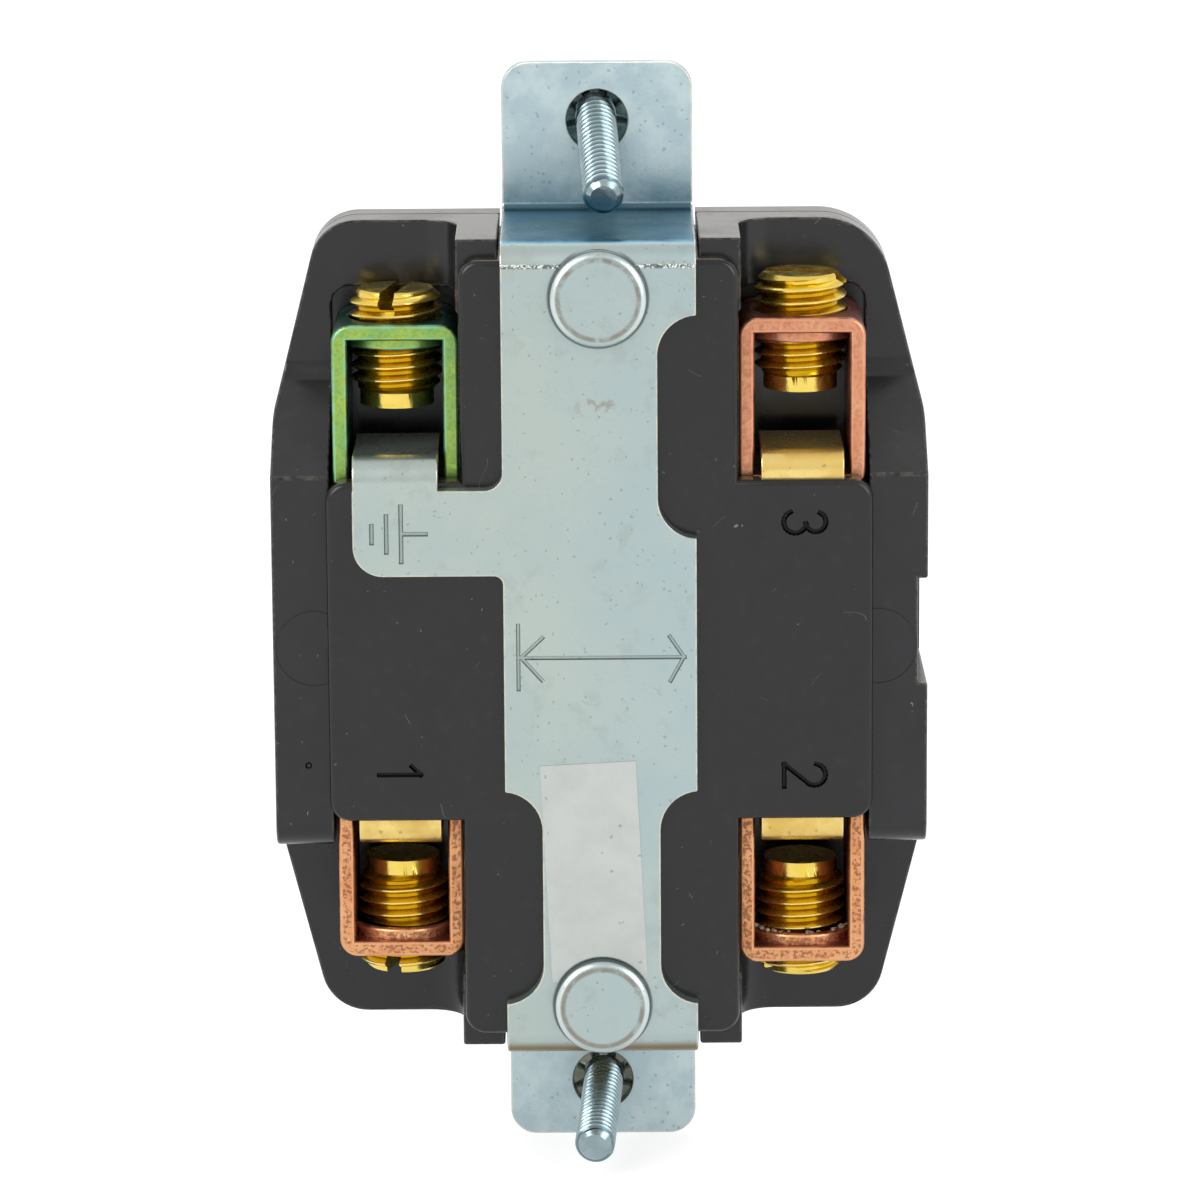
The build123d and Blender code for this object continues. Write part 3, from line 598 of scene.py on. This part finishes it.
brass, tree, shader, coords, xyz = finish("satin_brass", Metallic=0.9)
clouds = place_in(tree, mottle, Scale=380.0, Low=0.3, High=0.7)
colour = mixed(tree, clouds, rgb(226, 200, 124), rgb(206, 172, 92))
rim = place_in(tree, worn_edge, Scale=900.0, Low=0.3, High=0.6)
colour = tint(tree, colour, rgb(240, 222, 160), rim, 0.5)
spots = place_in(tree, dust, Scale=1800.0, Size=0.3, Share=0.1)
colour = tint(tree, colour, rgb(110, 76, 24), spots, 0.4)
set_colour(tree, shader, colour)
set_rough(tree, shader, clouds, 0.24, 0.38)
fine = place_in(tree, mottle, Scale=2200.0, Low=0.2, High=0.8)
set_bump(tree, shader, fine, 0.2, 0.03)
print("screw and brass finishes:", yellow.name, bright_thread.name, brass.name)

# %% Small finishes: spring steel, label film and fibre
steel, tree, shader, coords, xyz = finish("spring_steel", Metallic=1.0)
clouds = place_in(tree, mottle, Scale=600.0, Low=0.3, High=0.7)
set_colour(tree, shader, mixed(tree, clouds, rgb(150, 152, 156), rgb(112, 114, 120)))
set_rough(tree, shader, clouds, 0.25, 0.4)

film, tree, shader, coords, xyz = finish("label_film", Metallic=0.0, IOR=1.46)
clouds = place_in(tree, mottle, Scale=220.0, Low=0.35, High=0.7)
colour = mixed(tree, clouds, rgb(198, 202, 197), rgb(188, 192, 187))
dirt = place_in(tree, dust, Scale=1300.0, Size=0.2, Share=0.08)
colour = tint(tree, colour, rgb(120, 118, 112), dirt, 0.5)
set_colour(tree, shader, colour)
set_rough(tree, shader, clouds, 0.3, 0.4)
set_bump(tree, shader, clouds, 0.1, 0.05)


def washer_finish(name, lighter, darker):
    """Fibre sheet in two shades."""
    material, tree, shader, coords, xyz = finish(name, Metallic=0.0)
    threads = place_in(tree, mottle, Scale=1600.0, Low=0.35, High=0.65)
    set_colour(tree, shader, mixed(tree, threads, lighter, darker))
    set_rough(tree, shader, threads, 0.5, 0.7)
    set_bump(tree, shader, threads, 0.3, 0.03)
    return material


WASHER_FIBRE = {
    "top": washer_finish("grey_washer_fibre", rgb(150, 172, 170), rgb(96, 124, 126)),
    "bottom": washer_finish("cream_washer_fibre", rgb(253, 248, 232), rgb(244, 236, 212)),
}
print("finishes:", len(bpy.data.materials))

# %% [markdown]
# ## Rounding the edges of a solid
#
# A real stamping or moulding has no perfectly sharp edge, and the thin bright lines along its
# edges are what make it look real. A copy of each visible solid has its loose triangles joined
# and its flat areas made whole. Then the outward corners are bevelled, and the faces that this
# makes are marked, so that the finishes can wear them. Flats of more than 12 square millimetres
# are marked too. Each corner's normal comes from the widest kind of face there: a wide flat
# before a small one, and a small one before a rounded edge. So the flats stay flat.

# %% Copies with rounded edges
WELD = 0.002 * MM
FLAT_ANGLE = 0.4
CORNER = 35
WIDE = 12.0 * MM * MM
CREASE = 38


def merged(node):
    """A node's solid as an editable mesh, with its flat areas made whole."""
    bm = bmesh.new()
    bm.from_mesh(NODES[node].data)
    bmesh.ops.remove_doubles(bm, verts=bm.verts, dist=WELD)
    bmesh.ops.dissolve_limit(
        bm, angle_limit=math.radians(FLAT_ANGLE), verts=bm.verts, edges=bm.edges,
    )
    return bm


def soften(bm, width, segments=2, keep=None):
    """Bevels the sharp outward corners, and marks the new faces and the wide flats."""
    mark = bm.faces.layers.float.get("edge") or bm.faces.layers.float.new("edge")
    bm.normal_update()
    turned = math.radians(CORNER)
    sharp = [
        e for e in bm.edges
        if e.is_manifold and e.calc_face_angle_signed() > turned and (keep is None or keep(e))
    ]
    made = bmesh.ops.bevel(
        bm, geom=sharp, affect="EDGES", offset=width * MM, offset_type="OFFSET", segments=segments,
        profile=0.5, material=-1, clamp_overlap=False,
    )
    for face in made["faces"]:
        face[mark] = 1.0
    wide = bm.faces.layers.float.new("wide")
    for face in bm.faces:
        face[wide] = float(face.calc_area() > WIDE)
    return len(sharp)


def level_normals(bm, crease):
    """A normal for each face corner, from the flats there, so that only rounded edges bend the light."""
    least = math.cos(math.radians(crease))
    rounded = bm.faces.layers.float.get("edge")
    wide = bm.faces.layers.float.get("wide")
    bm.faces.index_update()
    rank, pull = [], []
    for face in bm.faces:
        small = rounded and face[rounded] > 0.5
        rank.append(0 if small else 1 if wide and face[wide] < 0.5 else 2)
        pull.append(face.normal * face.calc_area())
    normals = []
    for face in bm.faces:
        for vert in face.verts:
            near = [f.index for f in vert.link_faces if f.normal.dot(face.normal) > least]
            near = near or [face.index]
            first = max(rank[i] for i in near)
            total = sum((pull[i] for i in near if rank[i] == first), Vector())
            normals.append(total.normalized() if total.length else face.normal.copy())
    return normals


def make_piece(bm, name, material, body, stands_for=(), crease=CREASE):
    """Turns the mesh into a piece that rides on its body, smooth except across its creases."""
    bmesh.ops.triangulate(bm, faces=bm.faces, quad_method="BEAUTY", ngon_method="BEAUTY")
    bm.normal_update()
    for face in bm.faces:
        face.smooth = True
    for edge in bm.edges:
        edge.smooth = not edge.is_manifold or edge.calc_face_angle() < math.radians(crease)
    normals = level_normals(bm, crease)
    mesh = bpy.data.meshes.new(name)
    bm.to_mesh(mesh)
    bm.free()
    if "custom_normal" in mesh.attributes:
        mesh.attributes.remove(mesh.attributes["custom_normal"])
    mesh.normals_split_custom_set(normals)
    mesh.materials.append(material)
    piece = bpy.data.objects.new(name, mesh)
    bpy.context.scene.collection.objects.link(piece)
    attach(piece, body)
    if stands_for:
        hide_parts(*stands_for)
    print(name, len(mesh.polygons), "faces")
    return piece


def carved(bm, tool):
    """The solid, in triangles, with the tool's shape cut out of it."""
    bmesh.ops.triangulate(bm, faces=bm.faces, quad_method="BEAUTY", ngon_method="BEAUTY")
    pair = []
    for shape in (bm, tool):
        mesh = bpy.data.meshes.new("carving")
        shape.to_mesh(mesh)
        shape.free()
        pair.append(bpy.data.objects.new("carving", mesh))
        bpy.context.scene.collection.objects.link(pair[-1])
    cut = pair[0].modifiers.new("cut", "BOOLEAN")
    cut.operation = "DIFFERENCE"
    cut.solver = "EXACT"
    cut.use_self = True
    cut.object = pair[1]
    done = bmesh.new()
    done.from_object(pair[0], bpy.context.evaluated_depsgraph_get())
    for obj in pair:
        bpy.data.objects.remove(obj)
    return done


# %% [markdown]
# ## Stamped and moulded marks
#
# The strap carries a stamped strip gauge, a double arrow as long as the bare wire should be, and
# a mark for the ground terminal. The rear moulding carries a number beside each of the other
# three clamps. Such marks are pressed into the surface, so they are cut with narrow wedges that
# are wider at the top than at the bottom, and the faces that they leave are marked, to be
# given painted shade. Words aren't copied: the ground gets the usual earth sign.

# %% Wedges for stamped lines
BOTTOM_SHARE = 0.35
END_SLOPE = 0.3


def stroke(bm, start, end, level, width, depth):
    """A wedge from start to end, given in X and Z, that cuts a line into a face at that Y."""
    a = Vector((start[0], 0, start[1]))
    b = Vector((end[0], 0, end[1]))
    along = b - a
    made = bmesh.ops.create_cube(bm, size=1.0)["verts"]
    for v in made:
        if v.co.y > 0:
            v.co.z *= BOTTOM_SHARE
            v.co.x -= math.copysign(END_SLOPE * width / (along.length + width), v.co.x)
    turn = Matrix.Rotation(-math.atan2(along.z, along.x), 4, "Y")
    size = Matrix.Diagonal((along.length + width, 2 * depth, width, 1))
    place = Matrix.Translation(((a + b) / 2 + Vector((0, level, 0))) * MM)
    bmesh.ops.transform(bm, matrix=place @ turn @ Matrix.Scale(MM, 4) @ size, verts=made)


def mark_sunk(tool):
    """Marks a carving tool's faces, so that the finish can paint shade into the marks that it cuts."""
    sunk = tool.faces.layers.float.new("sunk")
    for face in tool.faces:
        face[sunk] = 1.0


STRAP_BACK = -18.0
GAUGE_LINE = (0.5, 0.2)
EARTH_LINE = (0.56, 0.22)
GAUGE = [
    ((-6.65, -0.13), (6.9, -0.13)),
    ((-6.72, 2.6), (-6.72, -2.75)),
    ((-6.5, -0.1), (-4.75, 1.55)), ((-6.5, -0.1), (-4.8, -2.0)),
    ((6.85, -0.1), (5.7, 1.6)), ((6.85, -0.1), (5.75, -2.1)),
]
EARTH = [
    ((-14.2, 10.3), (-16.2, 10.3)),
    ((-16.2, 12.6), (-16.2, 8.0)),
    ((-17.4, 11.8), (-17.4, 8.8)),
    ((-18.6, 11.0), (-18.6, 9.6)),
]

marks = bmesh.new()
for start, end in GAUGE:
    stroke(marks, start, end, STRAP_BACK, *GAUGE_LINE)
for start, end in EARTH:
    stroke(marks, start, end, STRAP_BACK, *EARTH_LINE)
mark_sunk(marks)
print("stamped strokes:", len(GAUGE) + len(EARTH))

# %% The strap
RIVET_CLEAR = 3.0
STRAP_EDGE = 0.16


def off_rivet(edge):
    """Tells the strap's visible edges from the rims of its rivet holes, which the rivets hide."""
    middle = (edge.verts[0].co + edge.verts[1].co) / 2 / MM
    return math.hypot(middle.x, abs(middle.z) - RIVET_Z) > RIVET_CLEAR


strap = merged("mounting_strap")
print("strap corners rounded:", soften(strap, STRAP_EDGE, keep=off_rivet))
strap = carved(strap, marks)
make_piece(strap, "plated_strap", plated, HOUSING, ["mounting_strap"])

# %% Moulded numbers
COVER_BACK = -16.5
COVER_EDGE = 0.1
COVER_RIM = -15.9
NUMBER_LINE = (0.6, 0.42)
ARC_STEP = 18


def arc(x, y, radius, start, end):
    """Points along a round stroke, with its angles in degrees."""
    steps = round(abs(end - start) / ARC_STEP)
    turns = [math.radians(start + (end - start) * i / steps) for i in range(steps + 1)]
    return [(x + radius * math.cos(t), y + radius * math.sin(t)) for t in turns]


DIGITS = {
    "1": [(-0.6, 1.0), (0.1, 1.7), (0.1, -1.7)],
    "2": arc(0, 0.8, 0.9, 170, -30) + [(-0.9, -1.7), (1.0, -1.7)],
    "3": arc(0, 0.88, 0.82, 155, -80) + arc(0, -0.8, 0.92, 75, -155),
}
PLACES = {"1": (-16.6, -10.2), "2": (16.8, -10.5), "3": (16.8, 10.8)}

numbers = bmesh.new()
for digit, line in DIGITS.items():
    x, z = PLACES[digit]
    lying = [(x + up, z - right) for right, up in line]
    for start, end in zip(lying, lying[1:]):
        stroke(numbers, start, end, COVER_BACK, *NUMBER_LINE)
mark_sunk(numbers)

cover = merged("rear_insulator")
at_back = soften(cover, COVER_EDGE, keep=lambda e: min(v.co.y for v in e.verts) < COVER_RIM * MM)
print("cover corners rounded:", at_back)
cover = carved(cover, numbers)
make_piece(cover, "terminal_cover", black_cover, HOUSING, ["rear_insulator"])

# %% [markdown]
# ## Housing
#
# The moulding shows two faint rings where ejector pins pushed it out of its mould, and one small
# pit. The rings are cut with a thin ring that is spun from a small square.

# %% Housing
def ring(bm, x, z, level, radius, width, depth):
    """A ring shaped tool round a point on a face at that Y."""
    inner, outer = radius - width / 2, radius + width / 2
    corners = [(inner, -depth), (outer, -depth), (outer, depth), (inner, depth)]
    line = [bm.verts.new(((x + r) * MM, (level + y) * MM, z * MM)) for r, y in corners]
    loop = [bm.edges.new((line[i], line[(i + 1) % 4])) for i in range(4)]
    bmesh.ops.spin(
        bm, geom=line + loop, cent=Vector((x, level, z)) * MM, axis=(0, 1, 0),
        angle=2 * math.pi, steps=64, use_merge=True,
    )


DECK = -14.7
EJECTORS = [(-23.59, 0.1), (22.9, 0.04)]
EJECTOR_R = 3.15
EJECTOR_LINE = (0.16, 0.1)
PIT = Vector((-24.2, DECK, -9.9)) * MM
PIT_R = 0.3 * MM
HOUSING_EDGE = 0.22
FACE_EDGE = 0.2
FACE_BACK = -1.2

tools = bmesh.new()
for x, z in EJECTORS:
    ring(tools, x, z, DECK, EJECTOR_R, *EJECTOR_LINE)
bmesh.ops.recalc_face_normals(tools, faces=tools.faces)
pit = bmesh.ops.create_icosphere(tools, subdivisions=2, radius=PIT_R)["verts"]
bmesh.ops.translate(tools, verts=pit, vec=PIT)
body = merged("main_housing")
print("housing corners rounded:", soften(body, HOUSING_EDGE))
body = carved(body, tools)
make_piece(body, "moulded_housing", black, HOUSING, ["main_housing"])

front = merged("front_face")
at_front = soften(front, FACE_EDGE, keep=lambda e: min(v.co.y for v in e.verts) > FACE_BACK * MM)
print("face corners rounded:", at_front)
make_piece(front, "plug_face", black, HOUSING, ["front_face"])

# %% [markdown]
# ## Rivets, contacts and clamps
#
# These solids have the right forms, so each only needs its corners rounded, with widths in
# millimetres.

# %% Rivets, contacts and clamps
RIVET_EDGE = 0.08
BRASS_EDGE = 0.14
CLAMP_EDGE = 0.28

for end in ("top", "bottom"):
    rivet = merged(f"{end}_rivet")
    soften(rivet, RIVET_EDGE)
    make_piece(rivet, f"{end}_rivet_headed", rivet_plate, HOUSING, [f"{end}_rivet"])

for corner in ("upper_right", "lower_left", "lower_right"):
    tongue = merged(f"{corner}_contact")
    soften(tongue, BRASS_EDGE)
    make_piece(tongue, f"{corner}_brass", brass, HOUSING, [f"{corner}_contact"])

CLAMPS = {
    "upper_left": (green, "green_clamp"),
    "upper_right": (copper, "copper_clamp"),
    "lower_left": (rough_copper, "copper_clamp"),
    "lower_right": (rough_copper, "copper_clamp"),
}
for corner, (metal, slot) in CLAMPS.items():
    cage = merged(f"{corner}_clamp")
    soften(cage, CLAMP_EDGE, segments=3)
    make_piece(cage, f"{corner}_cage", metal, f"{corner}_clamp_body", [f"{corner}_clamp"])

# %% [markdown]
# ## Screw threads
#
# A thread is one tooth profile, repeated along the axis and spun once round it while it climbs
# by one pitch. Its end then meets its start one tooth higher, and the doubles merge. The rod is
# cut to length with two planes, its ends are closed, and near an end no point may stand further
# out than the chamfer lets it. The turn is the right-handed one, and the lower screws are turned
# round rather than mirrored, which would make them left-handed.

# %% Thread builder
TOOTH = [
    (0.0, 0.0), (0.14, 0.0), (0.28, 0.5), (0.43, 0.94), (0.47, 1.0),
    (0.57, 1.0), (0.61, 0.94), (0.76, 0.5), (0.9, 0.0),
]
THREAD_CREASE = 32
PLAIN_END = 0.1
PLAIN_VALLEY = 0.15


def threaded_rod(radius, depth, pitch, low, high, tip_chamfer, head_chamfer, steps=72):
    """A right-handed threaded rod along Z from low to high: its closed mesh and its two end faces."""
    bm = bmesh.new()
    start = math.floor(low / pitch) - 1
    count = math.ceil(high / pitch) + 1 - start
    line = [
        bm.verts.new(Vector((radius - depth + depth * up, 0, (start + turn + along) * pitch)) * MM)
        for turn in range(count) for along, up in TOOTH
    ]
    joined = [bm.edges.new(pair) for pair in zip(line, line[1:])]
    bmesh.ops.spin(
        bm, geom=line + joined, cent=(0, 0, 0), axis=(0, 0, 1), dvec=(0, 0, pitch * MM / steps),
        angle=2 * math.pi, steps=steps, use_merge=False,
    )
    bmesh.ops.remove_doubles(bm, verts=bm.verts, dist=0.001 * MM)
    ends = []
    for level, way in ((low, -1), (high, 1)):
        everything = bm.verts[:] + bm.edges[:] + bm.faces[:]
        bmesh.ops.bisect_plane(
            bm, geom=everything, plane_co=(0, 0, level * MM), plane_no=(0, 0, way), clear_outer=True,
        )
        rim = [
            e for e in bm.edges
            if e.is_boundary and all(abs(v.co.z - level * MM) < 1e-7 for v in e.verts)
        ]
        ends.append(bmesh.ops.edgeloop_fill(bm, edges=rim)["faces"][0])
    for v in bm.verts:
        r = math.hypot(v.co.x, v.co.y)
        z = v.co.z / MM
        limit = min(radius - tip_chamfer + (z - low), radius - head_chamfer + (high - z)) * MM
        if r > limit > 0:
            v.co.x *= limit / r
            v.co.y *= limit / r
    bmesh.ops.recalc_face_normals(bm, faces=bm.faces)
    return bm, ends


def mark_valleys(bm, radius, depth, low, high):
    """Writes how deep in the thread each point lies, from 0 at the crest to 1 at the root."""
    valley = bm.verts.layers.float.new("valley")
    for v in bm.verts:
        down = (radius - math.hypot(v.co.x, v.co.y) / MM) / depth
        inside = low + PLAIN_END < v.co.z / MM < high - PLAIN_END
        v[valley] = min(1.0, max(0.0, down)) if inside else PLAIN_VALLEY


# %% [markdown]
# A clamp screw has no head: a slot crosses its outer end, and its tip is a smaller dog point.

# %% Clamp screws
CLAMP_SCREW_R = 3.8
CLAMP_SCREW_L = 9.6
CLAMP_PITCH = 25.4 / 24
CLAMP_THREAD = 0.6
DOG_L = 1.2
DOG_R = 3.05
CLAMP_CHAMFER = 0.75
CLAMP_SLOT = (1.25, 1.4)
SLOT_REACH = 9
TOOL_H = 3.0
SLOT_TURNS = {"upper_left": -12, "upper_right": 75, "lower_left": 15, "lower_right": 60}


def clamp_screw():
    """A headless screw along Z, tip down at 0, with a dog point and a slot in its outer end."""
    bm, ends = threaded_rod(
        CLAMP_SCREW_R, CLAMP_THREAD, CLAMP_PITCH, DOG_L, CLAMP_SCREW_L, CLAMP_CHAMFER, CLAMP_CHAMFER,
    )
    tip = ends[0]
    bmesh.ops.inset_region(bm, faces=[tip], thickness=0.02 * MM)
    for v in tip.verts:
        r = math.hypot(v.co.x, v.co.y)
        v.co.x *= DOG_R * MM / r
        v.co.y *= DOG_R * MM / r
    dog = bmesh.ops.extrude_face_region(bm, geom=[tip])
    moved = [v for v in dog["geom"] if isinstance(v, bmesh.types.BMVert)]
    bmesh.ops.translate(bm, verts=moved, vec=(0, 0, -DOG_L * MM))
    if tip.is_valid:
        bmesh.ops.delete(bm, geom=[tip], context="FACES_ONLY")
    slot = bmesh.new()
    bmesh.ops.create_cube(slot, size=1.0)
    slot_w, slot_d = CLAMP_SLOT
    place = Matrix.Translation((0, 0, (CLAMP_SCREW_L - slot_d + TOOL_H / 2) * MM))
    size = Matrix.Diagonal((slot_w * MM, SLOT_REACH * MM, TOOL_H * MM, 1))
    bmesh.ops.transform(slot, matrix=place @ size, verts=slot.verts)
    bm = carved(bm, slot)
    mark_valleys(bm, CLAMP_SCREW_R, CLAMP_THREAD, DOG_L, CLAMP_SCREW_L - 0.5)
    return bm


for corner, turn in SLOT_TURNS.items():
    low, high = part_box(f"{corner}_clamp_screw")
    upper = low.z > 0
    screw = clamp_screw()
    middle = (low + high) / 2
    tip = Vector((middle.x, middle.y, low.z if upper else high.z))
    over = Matrix.Identity(4) if upper else Matrix.Rotation(math.pi, 4, "Y")
    place = Matrix.Translation(tip) @ over @ Matrix.Rotation(math.radians(turn), 4, "Z")
    bmesh.ops.transform(screw, matrix=place, verts=screw.verts)
    make_piece(
        screw, f"{corner}_screw", yellow, f"{corner}_screw_body",
        [f"{corner}_clamp_screw"], crease=THREAD_CREASE,
    )

# %% [markdown]
# ## Thread glue
#
# A drop of thread glue was squeezed out where the lower right screw goes through its clamp, and
# set as a ragged little rim of crumbs. Each crumb is a small ball with its points pushed about.

# %% Thread glue
glue, tree, shader, coords, xyz = finish("thread_glue", Metallic=0.0, IOR=1.5)
clouds = place_in(tree, mottle, Scale=1500.0, Low=0.35, High=0.65)
set_colour(tree, shader, mixed(tree, clouds, rgb(178, 162, 138), rgb(78, 56, 36)))
set_rough(tree, shader, clouds, 0.12, 0.35)
set_bump(tree, shader, clouds, 0.5, 0.05)

COLLAR_DEEP = 2.2
CRUMBS = 26
CRUMB_SPREAD = 72
CRUMB_R = (0.13, 0.34)
RIM_R = (3.98, 4.4)
FLATTENED = 0.6

chance = random.Random(7)
screw_low, screw_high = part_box("lower_right_clamp_screw")
screw_axis = (screw_low + screw_high) / 2
clamp_low, clamp_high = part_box("lower_right_clamp")
rim_level = clamp_low.z + COLLAR_DEEP * MM
crumbs = bmesh.new()
for turn in range(CRUMBS):
    angle = math.radians(-90 + chance.uniform(-CRUMB_SPREAD, CRUMB_SPREAD))
    size = chance.uniform(*CRUMB_R) * MM
    r = chance.uniform(*RIM_R) * MM
    ball = bmesh.ops.create_icosphere(crumbs, subdivisions=1, radius=size)["verts"]
    for v in ball:
        v.co *= chance.uniform(0.7, 1.25)
        v.co.z *= FLATTENED
    spot = Vector((
        screw_axis.x + r * math.cos(angle), screw_axis.y + r * math.sin(angle), rim_level + 0.3 * size,
    ))
    bmesh.ops.translate(crumbs, verts=ball, vec=spot)
make_piece(crumbs, "lower_right_glue", glue, "lower_right_clamp_body")

# %% [markdown]
# ## Mounting screws
#
# The two long screws hang loose in the ears' holes, held by a washer on the plug side, so each
# leans its own way. Each is built upright and then laid along its axis. The cut thread leaves
# uneven points round the rod's end, so those of the head's rim are spaced evenly anew.

# %% Mounting screw builder
MOUNT_R = 1.7
MOUNT_THREAD = 0.42
MOUNT_PITCH = 25.4 / 32
MOUNT_OUT = 13.6
HEAD_R = 3.45
HEAD_H = 2.1
HEAD_ROUND = 1.2
HEAD_SLOT = (1.0, 1.0)
HEAD_REACH = 8
MOUNT_CHAMFER = 0.62
WASHER_T = 0.7
WASHER_R = 4.4
TABS = 8
TAB_TURN = 20
TAB_AT = 2.1
GAP_L = 2.1
GAP_W = 0.95
GAP_TAPER = 0.45


def mounting_screw(seat):
    """A long screw along Z, tip down, whose head's underside is at the seat."""
    bm, ends = threaded_rod(
        MOUNT_R, MOUNT_THREAD, MOUNT_PITCH, -MOUNT_OUT, seat, MOUNT_CHAMFER, 0.0, steps=48,
    )
    cap = ends[1]
    for radius, climb in ((HEAD_R, 0.0), (HEAD_R, HEAD_H)):
        grown = bmesh.ops.extrude_face_region(bm, geom=[cap])["geom"]
        if cap.is_valid:
            bmesh.ops.delete(bm, geom=[cap], context="FACES_ONLY")
        cap = next(f for f in grown if isinstance(f, bmesh.types.BMFace))
        rim = sorted(cap.verts, key=lambda v: math.atan2(v.co.y, v.co.x))
        for rank, v in enumerate(rim):
            angle = 2 * math.pi * (rank + 0.5) / len(rim) - math.pi
            flat = Vector((math.cos(angle) * radius * MM, math.sin(angle) * radius * MM, 0))
            v.co = flat + Vector((0, 0, v.co.z + climb * MM))
    top = list(cap.edges)
    bmesh.ops.bevel(
        bm, geom=top, affect="EDGES", offset=HEAD_ROUND * MM, offset_type="OFFSET", segments=5,
        profile=0.5, material=-1,
    )
    slot = bmesh.new()
    bmesh.ops.create_cube(slot, size=1.0)
    place = Matrix.Translation((0, 0, (seat + HEAD_H) * MM))
    slot_w, slot_d = HEAD_SLOT
    size = Matrix.Diagonal((HEAD_REACH * MM, slot_w * MM, 2 * slot_d * MM, 1))
    bmesh.ops.transform(slot, matrix=place @ size, verts=slot.verts)
    bmesh.ops.recalc_face_normals(bm, faces=bm.faces)
    bm = carved(bm, slot)
    mark_valleys(bm, MOUNT_R, MOUNT_THREAD, -MOUNT_OUT + 0.3, seat - 0.2)
    return bm


def tabbed_washer(end, place, middle):
    """A thin washer whose inner rim is cut into tabs that grip the screw."""
    cuts = bmesh.new()
    for turn in range(TABS):
        wedge = bmesh.ops.create_cube(cuts, size=1.0)["verts"]
        for v in wedge:
            if v.co.x > 0:
                v.co.y *= GAP_TAPER
        size = Matrix.Diagonal((GAP_L * MM, GAP_W * MM, 4.0 * WASHER_T * MM, 1))
        around = Matrix.Rotation(math.radians(360 / TABS * turn + TAB_TURN), 4, "Z")
        spot = around @ Matrix.Translation((TAB_AT * MM, 0, middle * MM))
        bmesh.ops.transform(cuts, matrix=place @ spot @ size, verts=wedge)
    washer = merged(f"{end}_retaining_washer")
    return carved(washer, cuts)


print("mounting screw head:", 2 * HEAD_R, "mm wide")

# %% [markdown]
# Both screws start at their joints' points, so each turns about its own leaning axis. A screw's
# seat is where its washer, tilted with it, touches the ear.

# %% Mounting screws and washers
LEANS = {"top": (17.0, 2.1), "bottom": (6.0, -3.2)}
STARTS = {j["child"]: Vector(j["pos_m"]) for j in frame["joints"] if j["type"] == "hinge"}
EAR_T = 1.5
EAR_GAP = 0.1

for end, (down, across) in LEANS.items():
    lean = math.radians(math.hypot(down, across))
    seat = (EAR_T + EAR_GAP) / math.cos(lean) + WASHER_R * math.tan(lean) + WASHER_T
    long_screw = mounting_screw(seat)
    lie = (
        Matrix.Rotation(math.radians(down), 4, "X") @ Matrix.Rotation(math.radians(across), 4, "Z")
        @ Matrix.Rotation(math.radians(-90), 4, "X")
    )
    start = STARTS[f"{end}_mounting_screw_body"]
    place = Matrix.Translation(start) @ lie
    bmesh.ops.transform(long_screw, matrix=place, verts=long_screw.verts)
    make_piece(
        long_screw, f"{end}_long_screw", bright_thread, f"{end}_mounting_screw_body",
        [f"{end}_mounting_screw"], crease=THREAD_CREASE,
    )
    washer = tabbed_washer(end, place, seat - WASHER_T / 2)
    make_piece(
        washer, f"{end}_tab_washer", WASHER_FIBRE[end], HOUSING,
        [f"{end}_retaining_washer"],
    )

# %% [markdown]
# ## The rest of the solids
#
# The label, the ground contact and the hidden springs keep their own meshes and only get their
# finish.

# %% Finishes for the other solids
OWN_FINISH = {
    "rating_label": film,
    "ground_contact": brass,
    "upper_right_contact_spring": steel,
    "lower_left_contact_spring": steel,
    "lower_right_contact_spring": steel,
    "ground_contact_spring": steel,
}
for node, material in OWN_FINISH.items():
    for slot in NODES[node].material_slots:
        slot.material = material
left = [n for n, o in NODES.items() if not o.hide_render and n not in OWN_FINISH]
print("solids still without a finish:", left)
